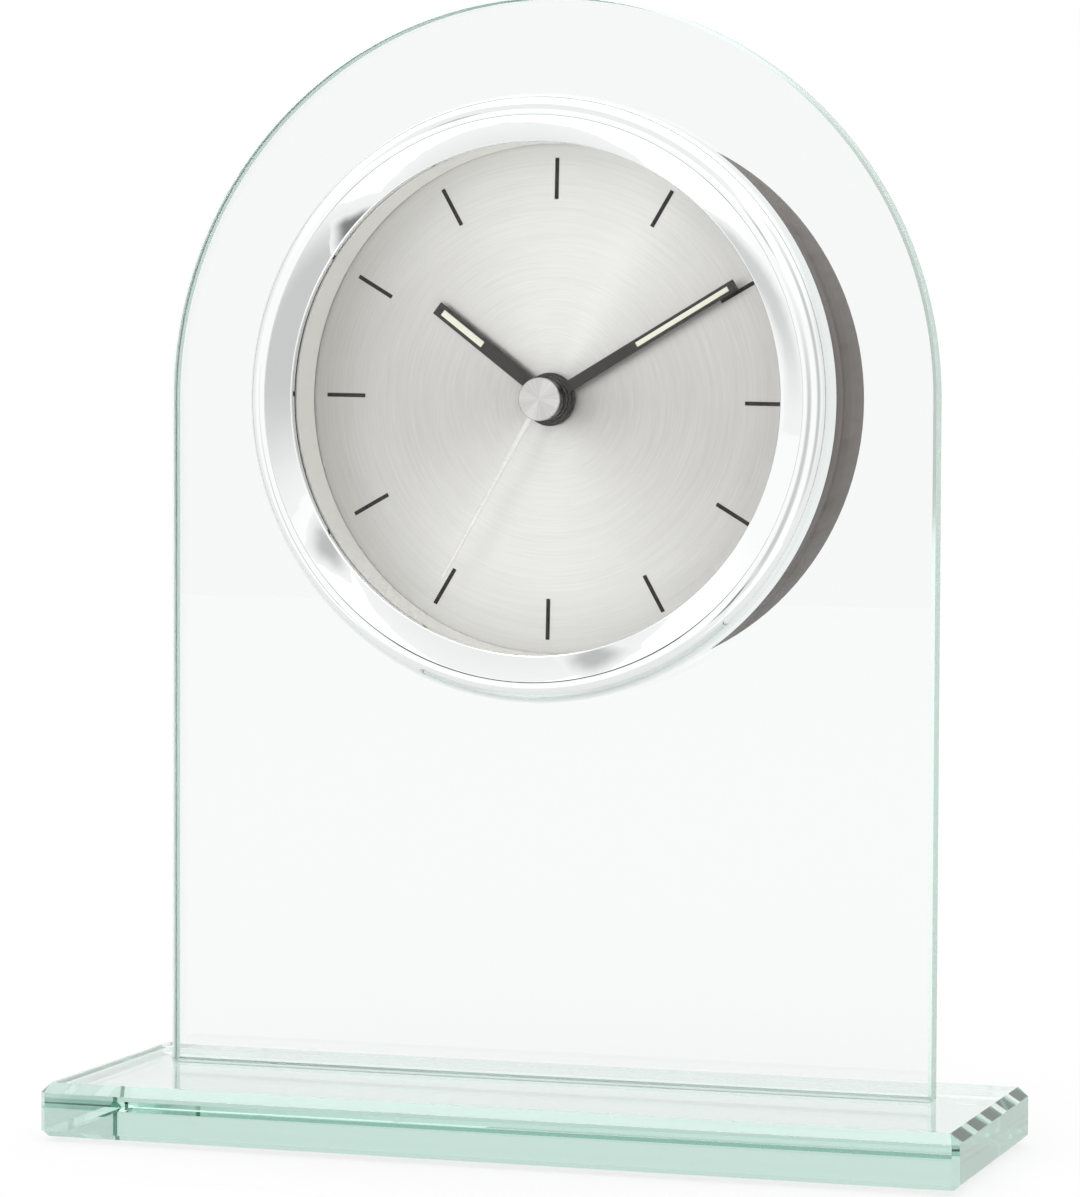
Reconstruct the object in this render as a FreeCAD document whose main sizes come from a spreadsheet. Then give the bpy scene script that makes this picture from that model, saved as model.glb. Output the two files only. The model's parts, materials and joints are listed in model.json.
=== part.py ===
import FreeCAD, Part
import math
import os
import Sketcher

# Desk clock: a round quartz insert in an arched plate of clear float glass,
# standing on a bevelled slab of the same glass.
# Millimetres. +Z is up, -Y is towards the viewer, +X is the viewer's right.
# The origin is the middle of the footprint, on the surface that the feet stand on.

BASE = {
    "base_width": 175.5,
    "base_depth": 59.5,
    "base_thickness": 10.0,
    "base_bevel": 1.8,
    "base_arris": 1.0,
    "base_corner_cut": 1.2,
    "base_centre_y": -5.05,
    "foot_rim_radius": 4.0,
    "foot_sole_radius": 3.5,
    "foot_height": 1.0,
    "foot_inset": 9.0,
    "bond_thickness": 0.1,
}

PANEL = {
    "panel_width": 150.0,
    "panel_thickness": 5.0,
    "panel_arris": 0.5,
    "panel_front_y": -1.8,
    "axis_over_base": 128.0,
    "hole_radius": 53.0,
}

# The ring stands on the glass, rounds over to a crest and falls back to the lip.
BEZEL = {
    "bezel_overlap": 3.5,
    "bezel_wall": 4.3,
    "shoulder_radius": 4.3,
    "crest_land": 0.7,
    "lip_cover": 2.2,
    "lip_drop": 1.75,
    "lip_round": 0.6,
    "lip_land": 0.7,
    "sleeve_play": 0.4,
    "sleeve_wall": 1.8,
    "sleeve_end": 16.4,
    "seat_wall": 2.9,
    "stack_play": 0.2,
    "lens_thickness": 1.5,
    "gasket_thickness": 0.8,
    "gasket_width": 1.4,
}

DIAL = {
    "ring_setback": 0.3,
    "dial_depth": 6.1,
    "dial_thickness": 0.5,
    "dial_bore": 3.7,
    "mark_count": 12,
    "mark_margin": 2.3,
    "mark_length": 7.7,
    "mark_width": 0.75,
    "mark_height": 0.08,
    "mark_angle": 1.0,
    "support_thickness": 2.0,
    "support_play": 0.1,
}

CASE = {
    "drum_proud": 0.5,
    "drum_taper": 0.3,
    "drum_end": 36.6,
    "drum_wall": 2.0,
    "drum_edge": 1.2,
    "spigot_play": 0.1,
    "spigot_wall": 1.6,
    "washer_thickness": 0.5,
    "washer_width": 1.5,
    "clamp_play": 0.05,
    "clamp_proud": 0.5,
    "clamp_chamfer": 0.4,
    "back_recess": 3.0,
    "back_thickness": 2.0,
    "back_play": 0.2,
    "post_radius": 4.3,
    "post_bite": 0.4,
    "post_angle": 45.0,
    "case_screw_radius": 1.3,
    "case_screw_play": 0.05,
    "case_screw_length": 9.0,
    "case_head_radius": 2.5,
    "case_head_height": 1.5,
}

# One AA cell lies across the lower half of the case, under a cover that lifts off.
BATTERY = {
    "cell_radius": 7.1,
    "cell_length": 49.2,
    "cell_edge": 0.6,
    "nub_radius": 2.7,
    "nub_length": 1.3,
    "bay_inset": 18.0,
    "cell_depth": 24.0,
    "bay_wall": 1.2,
    "bay_side_play": 0.3,
    "bay_floor_play": 0.2,
    "bay_end_play": 1.3,
    "bay_corner": 3.0,
    "contact_thickness": 0.4,
    "contact_width": 8.0,
    "contact_spring": 0.8,
    "contact_foot": 3.0,
    "rebate_margin": 0.8,
    "door_thickness": 1.2,
    "door_play": 0.15,
    "door_rib": 0.4,
    "door_rib_width": 0.8,
    "door_rib_step": 1.8,
    "door_rib_length": 12.0,
    "door_rib_count": 5,
}

MOVEMENT = {
    "housing_half_width": 24.0,
    "housing_top": 25.5,
    "housing_bottom": 23.6,
    "housing_front_wall": 1.4,
    "housing_side_wall": 1.2,
    "housing_depth": 14.0,
    "housing_corner": 2.5,
    "cover_thickness": 1.4,
    "bush_radius": 3.4,
    "bush_proud": 0.6,
    "corner_post_inset": 2.4,
    "corner_post_radius": 1.8,
    "movement_screw_radius": 0.9,
    "movement_screw_play": 0.05,
    "movement_screw_bite": 1.2,
    "movement_head_radius": 1.7,
    "movement_head_height": 1.0,
    "arbor_radius": 0.5,
    "pivot_play": 0.03,
    "arbor_setback": 0.4,
    "minute_tube_radius": 1.2,
    "hour_tube_radius": 1.9,
    "motion_post_radius": 0.8,
    "motion_hub_radius": 2.3,
    "setting_arbor_radius": 1.2,
    "level_clearance": 0.3,
    "level_step": 1.3,
    "wheel_width": 0.8,
    "pinion_extra": 0.1,
}

GEARS = {
    "rotor_module": 0.3,
    "rotor_pinion": 10,
    "idler_teeth": 50,
    "seconds_module": 0.34,
    "idler_pinion": 10,
    "seconds_teeth": 60,
    "third_module": 0.34,
    "seconds_pinion": 8,
    "third_teeth": 60,
    "third_pinion": 8,
    "centre_teeth": 64,
    "motion_module": 0.4,
    "cannon_pinion": 12,
    "motion_teeth": 36,
    "motion_pinion": 10,
    "hour_teeth": 40,
    "setting_pinion": 12,
    "third_angle": 300.0,
    "idler_angle": 120.0,
    "rotor_angle": 200.0,
    "motion_angle": 0.0,
    "setting_angle": 0.0,
    "addendum_share": 0.8,
    "dedendum_share": 1.1,
    "backlash_share": 0.26,
    "flank_share": 0.364,
}

MOTOR = {
    "magnet_radius": 2.3,
    "magnet_length": 2.0,
    "magnet_gap": 0.5,
    "stator_thickness": 0.8,
    "stator_bore": 2.8,
    "stator_left": 18.6,
    "stator_right": 12.2,
    "stator_upper": 9.4,
    "stator_lower": 20.3,
    "stator_bar": 3.6,
    "window_right": 1.0,
    "bobbin_radius": 2.3,
    "bobbin_play": 0.15,
    "bobbin_length": 14.0,
    "flange_radius": 3.5,
    "flange_thickness": 0.6,
    "winding_radius": 3.2,
    "board_left": 5.5,
    "board_right": 21.5,
    "board_low": 5.0,
    "board_high": 20.5,
    "board_thickness": 1.0,
    "chip_radius": 3.2,
    "chip_height": 1.0,
    "chip_x": 10.5,
    "chip_z": 10.5,
    "crystal_radius": 1.0,
    "crystal_length": 6.0,
    "crystal_x": 14.5,
    "crystal_z": 17.0,
}

# Rest angles are read clockwise from 12 as the viewer sees them: about 10:09:35.
HANDS = {
    "hand_thickness": 0.5,
    "hour_gap": 1.3,
    "hour_length": 28.3,
    "hour_width": 2.6,
    "hour_hub_radius": 5.0,
    "hour_lume_end": 1.5,
    "hour_lume_length": 10.0,
    "hour_lume_width": 1.2,
    "hour_angle": 307.5,
    "minute_gap": 0.8,
    "minute_margin": 5.4,
    "minute_width": 2.1,
    "minute_hub_radius": 4.6,
    "minute_collar_radius": 4.2,
    "minute_collar": 1.0,
    "minute_lume_end": 1.6,
    "minute_lume_length": 20.4,
    "minute_lume_width": 0.9,
    "minute_angle": 59.6,
    "lume_depth": 0.25,
    "second_gap": 0.4,
    "second_bush_radius": 3.95,
    "second_bush_height": 2.8,
    "second_thickness": 0.3,
    "second_margin": 8.9,
    "second_root_width": 1.0,
    "second_tip_width": 0.6,
    "second_hub_radius": 3.8,
    "second_angle": 209.8,
    "cap_radius": 4.05,
    "cap_height": 0.6,
    "cap_edge": 0.12,
}

KNOB = {
    "knob_radius": 5.5,
    "knob_height": 2.3,
    "knob_gap": 0.3,
    "knob_stem_radius": 2.2,
    "knob_stem_length": 5.0,
    "knob_hole_play": 0.4,
    "knob_groove_count": 20,
    "knob_groove_width": 0.9,
    "knob_groove_depth": 0.5,
    "knob_edge": 0.3,
    "knob_bore_depth": 6.0,
    "cut_overrun": 1.0,
}

doc = FreeCAD.newDocument("glass_mantel_clock")
sheet = doc.addObject("Spreadsheet::Sheet", "dims")
row = 1
for group in (BASE, PANEL, BEZEL, DIAL, CASE, BATTERY, MOVEMENT, GEARS, MOTOR, HANDS, KNOB):
    for name, size in group.items():
        sheet.set(f"A{row}", name)
        sheet.set(f"B{row}", str(size))
        sheet.setAlias(f"B{row}", name)
        row += 1
doc.recompute()

sub_parts = []

# Places along the clock's axis, as depths behind the front face of the panel.
AXIS_Z = "(dims.foot_height + dims.base_thickness + dims.axis_over_base)"
CREST = "(-(dims.bezel_wall + dims.shoulder_radius))"
LIP = f"({CREST} + dims.lip_drop)"
LENS_FRONT = f"({LIP} + dims.lip_round + dims.lip_land)"
LENS_BACK = f"({LENS_FRONT} + dims.lens_thickness)"
RING_FRONT = f"({LENS_BACK} + dims.gasket_thickness)"
DIAL_FRONT = "dims.dial_depth"
DIAL_BACK = "(dims.dial_depth + dims.dial_thickness)"
SUPPORT_BACK = f"({DIAL_BACK} + dims.support_thickness)"
HOUSING_INNER = f"({SUPPORT_BACK} + dims.housing_front_wall)"
COVER_FRONT = f"({SUPPORT_BACK} + dims.housing_depth)"
COVER_BACK = f"({COVER_FRONT} + dims.cover_thickness)"
ARBOR_FRONT = f"({SUPPORT_BACK} + dims.arbor_setback)"
ARBOR_BACK = f"({COVER_BACK} - dims.arbor_setback)"
PLATE_BACK = "(dims.drum_end - dims.back_recess)"
PLATE_FRONT = f"({PLATE_BACK} - dims.back_thickness)"

# Radii of the case, and how far the cell's axis lies below the clock's.
DRUM_FRONT = "(dims.hole_radius + dims.drum_proud)"
DRUM_BACK = f"({DRUM_FRONT} - dims.drum_taper)"
SHELL_BORE = f"({DRUM_BACK} - dims.drum_wall)"
CELL_DROP = f"({SHELL_BORE} - dims.back_play - dims.bay_inset)"

# Radii of the ring and of the parts that nest inside its sleeve, all from the hole in the glass.
BEZEL_RADIUS = "(dims.hole_radius + dims.bezel_overlap)"
SHOULDER = f"({BEZEL_RADIUS} - dims.shoulder_radius)"
SLEEVE = "(dims.hole_radius - dims.sleeve_play)"
SLEEVE_BORE = f"({SLEEVE} - dims.sleeve_wall)"
SEAT = f"({SLEEVE} - dims.seat_wall)"
STACK = f"({SEAT} - dims.stack_play)"
LIP_RADIUS = f"({SEAT} - dims.lip_cover)"


def number(text):
    result = sheet.evalExpression(text)
    return float(getattr(result, "Value", result))


def place(thing, x, y, z, turn="0", axis="vector(0; 1; 0)"):
    thing.setExpression("Placement", f"placement(vector({x}; {y}; {z}); rotation({axis}; {turn}))")


def new_body(label, x="0", z="0", turn="0"):
    # A piece of the insert: its own Y is the depth behind the panel's front face.
    body = doc.addObject("PartDesign::Body", label)
    body.Label = label
    place(body, x, "dims.panel_front_y", f"{AXIS_Z} + {z}", turn)
    sub_parts.append(body)
    return body


def new_sketch(body, role, depth="0"):
    sketch = body.newObject("Sketcher::SketchObject", "profile")
    plane = next(item for item in body.Origin.OriginFeatures if item.Role == role)
    sketch.AttachmentSupport = [(plane, "")]
    sketch.MapMode = "FlatFace"
    if depth != "0":
        sketch.setExpression("AttachmentOffset.Base.z", f"-({depth})")
    return sketch


def hold_point(sketch, edge, end, x, y):
    for kind, text, axis in (("DistanceX", x, -2), ("DistanceY", y, -1)):
        if text == "0":
            sketch.addConstraint(Sketcher.Constraint("PointOnObject", edge, end, axis))
        else:
            index = sketch.addConstraint(Sketcher.Constraint(kind, -1, 1, edge, end, number(text)))
            sketch.setExpression(f"Constraints[{index}]", text)


def outline(sketch, points):
    # A point is (x, y), or (x, y, (cx, cy)) where the edge that leaves it is an arc about that centre.
    flat = [FreeCAD.Vector(number(point[0]), number(point[1]), 0) for point in points]
    ends = []
    for index, point in enumerate(points):
        here = flat[index]
        there = flat[(index + 1) % len(flat)]
        if len(point) == 2:
            edge = sketch.addGeometry(Part.LineSegment(here, there))
            ends.append((edge, 1, 2))
            continue
        centre = FreeCAD.Vector(number(point[2][0]), number(point[2][1]), 0)
        circle = Part.Circle(centre, FreeCAD.Vector(0, 0, 1), (here - centre).Length)
        start = math.atan2(here.y - centre.y, here.x - centre.x)
        stop = math.atan2(there.y - centre.y, there.x - centre.x)
        forward = (stop - start) % math.tau < math.pi
        if forward:
            edge = sketch.addGeometry(Part.ArcOfCircle(circle, start, stop))
            ends.append((edge, 1, 2))
        else:
            edge = sketch.addGeometry(Part.ArcOfCircle(circle, stop, start))
            ends.append((edge, 2, 1))
        index = sketch.addConstraint(Sketcher.Constraint("Radius", edge, circle.Radius))
        reach = f"hypot({point[0]} - ({point[2][0]}); {point[1]} - ({point[2][1]}))"
        sketch.setExpression(f"Constraints[{index}]", reach)
    for index, point in enumerate(points):
        edge, first, last = ends[index]
        following = ends[(index + 1) % len(ends)]
        sketch.addConstraint(Sketcher.Constraint("Coincident", edge, last, following[0], following[1]))
        hold_point(sketch, edge, first, point[0], point[1])


def box_outline(sketch, left, right, low, high):
    outline(sketch, [(left, low), (right, low), (right, high), (left, high)])


def rounded_outline(sketch, left, right, low, high, radius):
    inner_left = f"({left} + {radius})"
    inner_right = f"({right} - {radius})"
    inner_low = f"({low} + {radius})"
    inner_high = f"({high} - {radius})"
    outline(sketch, [
        (inner_left, low),
        (inner_right, low, (inner_right, inner_low)),
        (right, inner_low),
        (right, inner_high, (inner_right, inner_high)),
        (inner_right, high),
        (inner_left, high, (inner_left, inner_high)),
        (left, inner_high),
        (left, inner_low, (inner_left, inner_low)),
    ])


def circle(sketch, radius, x="0", y="0"):
    middle = FreeCAD.Vector(number(x), number(y), 0)
    edge = sketch.addGeometry(Part.Circle(middle, FreeCAD.Vector(0, 0, 1), number(radius)))
    hold_point(sketch, edge, 3, x, y)
    index = sketch.addConstraint(Sketcher.Constraint("Radius", edge, number(radius)))
    sketch.setExpression(f"Constraints[{index}]", radius)


def extrude(body, kind, sketch, length):
    # Pads and pockets both run from the sketch towards the back.
    feature = body.newObject(f"PartDesign::{kind}", kind.lower())
    feature.Profile = sketch
    feature.setExpression("Length", length)
    feature.Reversed = kind == "Pad"
    body.Tip = feature
    return feature


def disc(body, radius, start, stop, bore=None):
    sketch = new_sketch(body, "XZ_Plane", start)
    circle(sketch, radius)
    if bore:
        circle(sketch, bore)
    return extrude(body, "Pad", sketch, f"({stop}) - ({start})")


def drill(body, radius, start, stop, places=(("0", "0"),)):
    sketch = new_sketch(body, "XZ_Plane", start)
    for x, z in places:
        circle(sketch, radius, x, z)
    return extrude(body, "Pocket", sketch, f"({stop}) - ({start})")


def block(body, kind, box, start, stop, corner=None):
    sketch = new_sketch(body, "XZ_Plane", start)
    if corner:
        rounded_outline(sketch, *box, corner)
    else:
        box_outline(sketch, *box)
    return extrude(body, kind, sketch, f"({stop}) - ({start})")


def turned(label, points):
    # Points are (radius, depth): the piece is a full turn about the clock's axis.
    body = new_body(label)
    sketch = new_sketch(body, "XY_Plane")
    outline(sketch, points)
    feature = body.newObject("PartDesign::Revolution", "turn")
    feature.Profile = sketch
    feature.ReferenceAxis = (sketch, ["V_Axis"])
    feature.Angle = 360
    body.Tip = feature
    return body


def ring(label, bore, radius, start, stop):
    return turned(label, [(bore, start), (radius, start), (radius, stop), (bore, stop)])


def repeat_round(body, features, count):
    pattern = body.newObject("PartDesign::PolarPattern", "round")
    pattern.Originals = features
    pattern.Axis = (features[0].Profile[0], ["N_Axis"])
    pattern.Angle = 360
    pattern.setExpression("Occurrences", count)
    body.Tip = pattern
    return pattern


def edge_names(feature, wanted):
    doc.recompute()
    return [f"Edge{i}" for i, edge in enumerate(feature.Shape.Edges, 1) if wanted(edge)]


def bevel(body, wanted, size, kind="Chamfer"):
    feature_below = body.Tip
    names = edge_names(feature_below, wanted)
    feature = body.newObject(f"PartDesign::{kind}", kind.lower())
    feature.Base = (feature_below, names)
    feature.setExpression("Size" if kind == "Chamfer" else "Radius", size)
    body.Tip = feature
    return feature


def lies_at(axis, where):
    # True for an edge whose whole length is at one place along X, Y or Z.
    low = f"{axis}Min"
    high = f"{axis}Max"
    target = number(where)
    near = 1e-4

    def wanted(edge):
        span = edge.BoundBox
        return abs(getattr(span, low) - target) < near and abs(getattr(span, high) - target) < near

    return wanted


def along_y(thing, radius, length, x, y, z):
    thing.setExpression("Radius", radius)
    thing.setExpression("Height", length)
    place(thing, x, y, z, "-90", "vector(1; 0; 0)")
    return thing


def group(label, pieces):
    bundle = doc.addObject("Part::Compound", label)
    bundle.Label = label
    bundle.Links = pieces
    sub_parts.append(bundle)
    return bundle


def level(step):
    return f"({HOUSING_INNER} + dims.level_clearance + {step} * dims.level_step)"


def swing(distance, direction):
    # The place at a distance from the axis, in a direction read clockwise from 12.
    angle = f"(({direction}) * 1 deg)"
    return f"(({distance}) * sin({angle}))", f"(({distance}) * cos({angle}))"


def spacing(module, first, second):
    return f"({module} * ({first} + {second}) / 2)"


def mesh_turn(direction, other_turn, other_teeth, own_teeth):
    # Turns a wheel so that a tooth of it lies in a gap of its neighbour, on the line between the two.
    slip = f"(({other_turn}) - ({direction})) * {other_teeth} / {own_teeth}"
    return f"(({direction}) + 180 - 180 / {own_teeth} - {slip})"


def add_teeth(body, module, teeth, start, width):
    # A disc out to the tips of the teeth, then one gap cut and repeated.
    pitch = f"({module} * {teeth} / 2)"
    tip = f"({pitch} + dims.addendum_share * {module})"
    root = f"({pitch} - dims.dedendum_share * {module})"
    half_gap = f"(pi * {module} / 4 * (1 + dims.backlash_share))"
    half_mouth = f"({half_gap} + 2 * dims.addendum_share * {module} * dims.flank_share)"
    half_floor = f"({half_gap} - dims.dedendum_share * {module} * dims.flank_share)"
    mouth = f"({tip} + dims.addendum_share * {module})"
    disc(body, tip, start, f"{start} + {width}")
    sketch = new_sketch(body, "XZ_Plane", start)
    outline(sketch, [
        (f"(-{half_floor})", root),
        (half_floor, root),
        (half_mouth, mouth),
        (f"(-{half_mouth})", mouth),
    ])
    gap = extrude(body, "Pocket", sketch, width)
    return repeat_round(body, [gap], teeth)


def add_wheel(body, module, teeth, step):
    return add_teeth(body, module, teeth, level(step), "dims.wheel_width")


def add_pinion(body, module, teeth, step):
    start = f"({level(step)} - dims.pinion_extra)"
    return add_teeth(body, module, teeth, start, "(dims.wheel_width + 2 * dims.pinion_extra)")


# Where each arbor stands, from the clock's axis.
CENTRE_MODULE = "(dims.third_module * (dims.third_teeth + dims.seconds_pinion)"
CENTRE_MODULE += " / (dims.centre_teeth + dims.third_pinion))"
HOUR_MODULE = "(dims.motion_module * (dims.cannon_pinion + dims.motion_teeth)"
HOUR_MODULE += " / (dims.motion_pinion + dims.hour_teeth))"
THIRD_AT = swing(spacing("dims.third_module", "dims.seconds_pinion", "dims.third_teeth"),
                 "dims.third_angle")
IDLER_AT = swing(spacing("dims.seconds_module", "dims.seconds_teeth", "dims.idler_pinion"),
                 "dims.idler_angle")
ROTOR_STEP = swing(spacing("dims.rotor_module", "dims.idler_teeth", "dims.rotor_pinion"),
                   "dims.rotor_angle")
ROTOR_AT = (f"({IDLER_AT[0]} + {ROTOR_STEP[0]})", f"({IDLER_AT[1]} + {ROTOR_STEP[1]})")
MOTION_AT = swing(spacing("dims.motion_module", "dims.cannon_pinion", "dims.motion_teeth"),
                  "dims.motion_angle")
SETTING_STEP = swing(spacing("dims.motion_module", "dims.motion_teeth", "dims.setting_pinion"),
                     "dims.setting_angle")
SETTING_AT = (f"({MOTION_AT[0]} + {SETTING_STEP[0]})", f"({MOTION_AT[1]} + {SETTING_STEP[1]})")

# How far each toothed body is turned at rest, so that every pair is in mesh.
THIRD_TURN = mesh_turn("dims.third_angle", "0", "dims.seconds_pinion", "dims.third_teeth")
CENTRE_TURN = mesh_turn("dims.third_angle + 180", THIRD_TURN, "dims.third_pinion",
                        "dims.centre_teeth")
IDLER_TURN = mesh_turn("dims.idler_angle", "0", "dims.seconds_teeth", "dims.idler_pinion")
ROTOR_TURN = mesh_turn("dims.rotor_angle", IDLER_TURN, "dims.idler_teeth", "dims.rotor_pinion")
MOTION_TURN = mesh_turn("dims.motion_angle", "0", "dims.cannon_pinion", "dims.motion_teeth")
HOUR_TURN = mesh_turn("dims.motion_angle + 180", MOTION_TURN, "dims.motion_pinion",
                      "dims.hour_teeth")
SETTING_TURN = mesh_turn("dims.setting_angle", MOTION_TURN, "dims.motion_teeth",
                         "dims.setting_pinion")


def make_base():
    # The slab: mitred corners, a wide polished bevel above and a small arris below.
    body = doc.addObject("PartDesign::Body", "base_plate")
    body.Label = "base_plate"
    place(body, "0", "dims.base_centre_y", "dims.foot_height")
    sub_parts.append(body)
    sketch = new_sketch(body, "XY_Plane")
    box_outline(sketch, "-dims.base_width / 2", "dims.base_width / 2",
                "-dims.base_depth / 2", "dims.base_depth / 2")
    slab = body.newObject("PartDesign::Pad", "slab")
    slab.Profile = sketch
    slab.setExpression("Length", "dims.base_thickness")
    body.Tip = slab
    bevel(body, lambda edge: edge.BoundBox.ZLength > edge.BoundBox.DiagonalLength / 2,
          "dims.base_corner_cut")
    bevel(body, lies_at("Z", "dims.base_thickness"), "dims.base_bevel")
    bevel(body, lies_at("Z", "0"), "dims.base_arris")


def make_feet():
    feet = []
    for side in ("-", "+"):
        for end in ("-", "+"):
            foot = doc.addObject("Part::Cone", "foot")
            foot.setExpression("Radius1", "dims.foot_sole_radius")
            foot.setExpression("Radius2", "dims.foot_rim_radius")
            foot.setExpression("Height", "dims.foot_height")
            x = f"{side}(dims.base_width / 2 - dims.foot_inset)"
            y = f"dims.base_centre_y {end} (dims.base_depth / 2 - dims.foot_inset)"
            place(foot, x, y, "0")
            feet.append(foot)
    group("bumper_feet", feet)


def make_bond():
    # The film of clear adhesive under the flat of the panel's lower edge.
    film = doc.addObject("Part::Box", "bond_line")
    film.Label = "bond_line"
    film.setExpression("Length", "dims.panel_width - 2 * dims.panel_arris")
    film.setExpression("Width", "dims.panel_thickness - 2 * dims.panel_arris")
    film.setExpression("Height", "dims.bond_thickness")
    place(film, "-(dims.panel_width / 2 - dims.panel_arris)", "dims.panel_front_y + dims.panel_arris",
          "dims.foot_height + dims.base_thickness")
    sub_parts.append(film)


def make_panel():
    # The arch is half a circle about the clock's own axis.
    body = new_body("glass_panel")
    sketch = new_sketch(body, "XZ_Plane")
    half = "(dims.panel_width / 2)"
    foot = "(-(dims.axis_over_base - dims.bond_thickness))"
    outline(sketch, [
        (f"(-{half})", foot),
        (half, foot),
        (half, "0", ("0", "0")),
        ("0", half, ("0", "0")),
        (f"(-{half})", "0"),
    ])
    circle(sketch, "dims.hole_radius")
    extrude(body, "Pad", sketch, "dims.panel_thickness")
    front = lies_at("Y", "0")
    back = lies_at("Y", "dims.panel_thickness")
    bevel(body, lambda edge: front(edge) or back(edge), "dims.panel_arris")


def make_bezel():
    wall_top = "(-dims.bezel_wall)"
    round_at = f"({LIP} + dims.lip_round)"
    turned("bezel", [
        (SLEEVE, "0"),
        (BEZEL_RADIUS, "0"),
        (BEZEL_RADIUS, wall_top, (SHOULDER, wall_top)),
        (SHOULDER, CREST),
        (f"({SHOULDER} - dims.crest_land)", CREST),
        (f"({LIP_RADIUS} + dims.lip_round)", LIP),
        (LIP_RADIUS, round_at),
        (LIP_RADIUS, LENS_FRONT),
        (SEAT, LENS_FRONT),
        (SEAT, DIAL_BACK),
        (SLEEVE_BORE, DIAL_BACK),
        (SLEEVE_BORE, "dims.sleeve_end"),
        (SLEEVE, "dims.sleeve_end"),
    ])


def make_stack():
    # Lens, seal, inner ring and dial, held between the lip and the dial support.
    lens = new_body("lens")
    disc(lens, STACK, LENS_FRONT, LENS_BACK)
    ring("lens_gasket", f"({STACK} - dims.gasket_width)", STACK, LENS_BACK, RING_FRONT)
    ring("dial_ring", f"({LIP_RADIUS} + dims.ring_setback)", STACK, RING_FRONT, DIAL_FRONT)
    dial = new_body("dial")
    disc(dial, STACK, DIAL_FRONT, DIAL_BACK, "dims.dial_bore")
    marks = new_body("hour_marks", turn="dims.mark_angle")
    marks.AllowCompound = True
    outer = f"({LIP_RADIUS} - dims.mark_margin)"
    bar = block(marks, "Pad", ("-dims.mark_width / 2", "dims.mark_width / 2",
                               f"({outer} - dims.mark_length)", outer),
                f"({DIAL_FRONT} - dims.mark_height)", DIAL_FRONT)
    repeat_round(marks, [bar], "dims.mark_count")


def make_support():
    # The moulded plate behind the dial: it backs the dial and carries the movement.
    support = new_body("dial_support")
    disc(support, f"({SLEEVE_BORE} - dims.support_play)", DIAL_BACK, SUPPORT_BACK, "dims.dial_bore")
    drill(support, "(dims.movement_screw_radius + dims.movement_screw_play)", DIAL_BACK, SUPPORT_BACK,
          movement_corners())


def make_clamp():
    # The ring that grips the sleeve behind the glass, on a washer of thin foam.
    start = "dims.panel_thickness"
    bore = f"({SLEEVE} + dims.clamp_play)"
    outside = f"({DRUM_FRONT} + dims.clamp_proud)"
    seat = f"({start} + dims.washer_thickness)"
    washer_bore = "(dims.hole_radius + dims.panel_arris)"
    ring("foam_washer", washer_bore, f"({washer_bore} + dims.washer_width)", start, seat)
    turned("clamp_ring", [
        (bore, seat),
        (outside, seat),
        (outside, "(dims.sleeve_end - dims.clamp_chamfer)"),
        (f"({outside} - dims.clamp_chamfer)", "dims.sleeve_end"),
        (bore, "dims.sleeve_end"),
    ])


def post_places():
    circle_radius = f"({SHELL_BORE} + dims.post_bite - dims.post_radius)"
    return [swing(circle_radius, f"dims.post_angle + {quarter}") for quarter in (0, 90, 180, 270)]


def make_case():
    # The drum: a spigot that slides into the sleeve, a step against its end, and the tapered shell.
    spigot = f"({SLEEVE_BORE} - dims.spigot_play)"
    spigot_bore = f"({spigot} - dims.spigot_wall)"
    start = f"({SUPPORT_BACK} + dims.spigot_play)"
    step_back = "(dims.sleeve_end + dims.drum_wall)"
    edge_radius = f"({DRUM_BACK} - dims.drum_edge)"
    edge_depth = "(dims.drum_end - dims.drum_edge)"
    drum = turned("case_drum", [
        (spigot_bore, start),
        (spigot, start),
        (spigot, "dims.sleeve_end"),
        (DRUM_FRONT, "dims.sleeve_end"),
        (DRUM_BACK, edge_depth),
        (edge_radius, "dims.drum_end"),
        (SHELL_BORE, "dims.drum_end"),
        (SHELL_BORE, step_back),
        (spigot_bore, step_back),
    ])
    sketch = new_sketch(drum, "XZ_Plane", step_back)
    for x, z in post_places():
        circle(sketch, "dims.post_radius", x, z)
    extrude(drum, "Pad", sketch, f"{PLATE_FRONT} - {step_back}")
    pilot = "(dims.case_screw_radius + dims.case_screw_play)"
    drill(drum, pilot, f"({PLATE_BACK} - dims.case_screw_length)", PLATE_FRONT, post_places())


def bay_box(extra="0"):
    half_length = f"(dims.cell_length / 2 + dims.nub_length / 2 + dims.bay_end_play + {extra})"
    half_height = f"(dims.cell_radius + dims.bay_side_play + {extra})"
    return (f"(-{half_length})", half_length,
            f"(-{CELL_DROP} - {half_height})", f"(-{CELL_DROP} + {half_height})")


def bay_corner(extra="0"):
    return f"(dims.bay_corner - dims.bay_wall + {extra})"


def make_case_back():
    back = new_body("case_back")
    disc(back, f"({SHELL_BORE} - dims.back_play)", PLATE_FRONT, PLATE_BACK)
    floor_back = "(dims.cell_depth - dims.cell_radius - dims.bay_floor_play)"
    floor_front = f"({floor_back} - dims.bay_wall)"
    behind = f"{PLATE_BACK} + dims.cut_overrun"
    block(back, "Pad", bay_box("dims.bay_wall"), floor_front, PLATE_FRONT, "dims.bay_corner")
    block(back, "Pocket", bay_box(), floor_back, behind, bay_corner())
    block(back, "Pocket", bay_box("dims.rebate_margin"), f"({PLATE_BACK} - dims.door_thickness)", behind,
          bay_corner("dims.rebate_margin"))
    drill(back, "(dims.knob_stem_radius + dims.knob_hole_play)", PLATE_FRONT, PLATE_BACK, [SETTING_AT])
    drill(back, "(dims.case_screw_radius + 2 * dims.case_screw_play)", PLATE_FRONT, PLATE_BACK,
          post_places())


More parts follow.
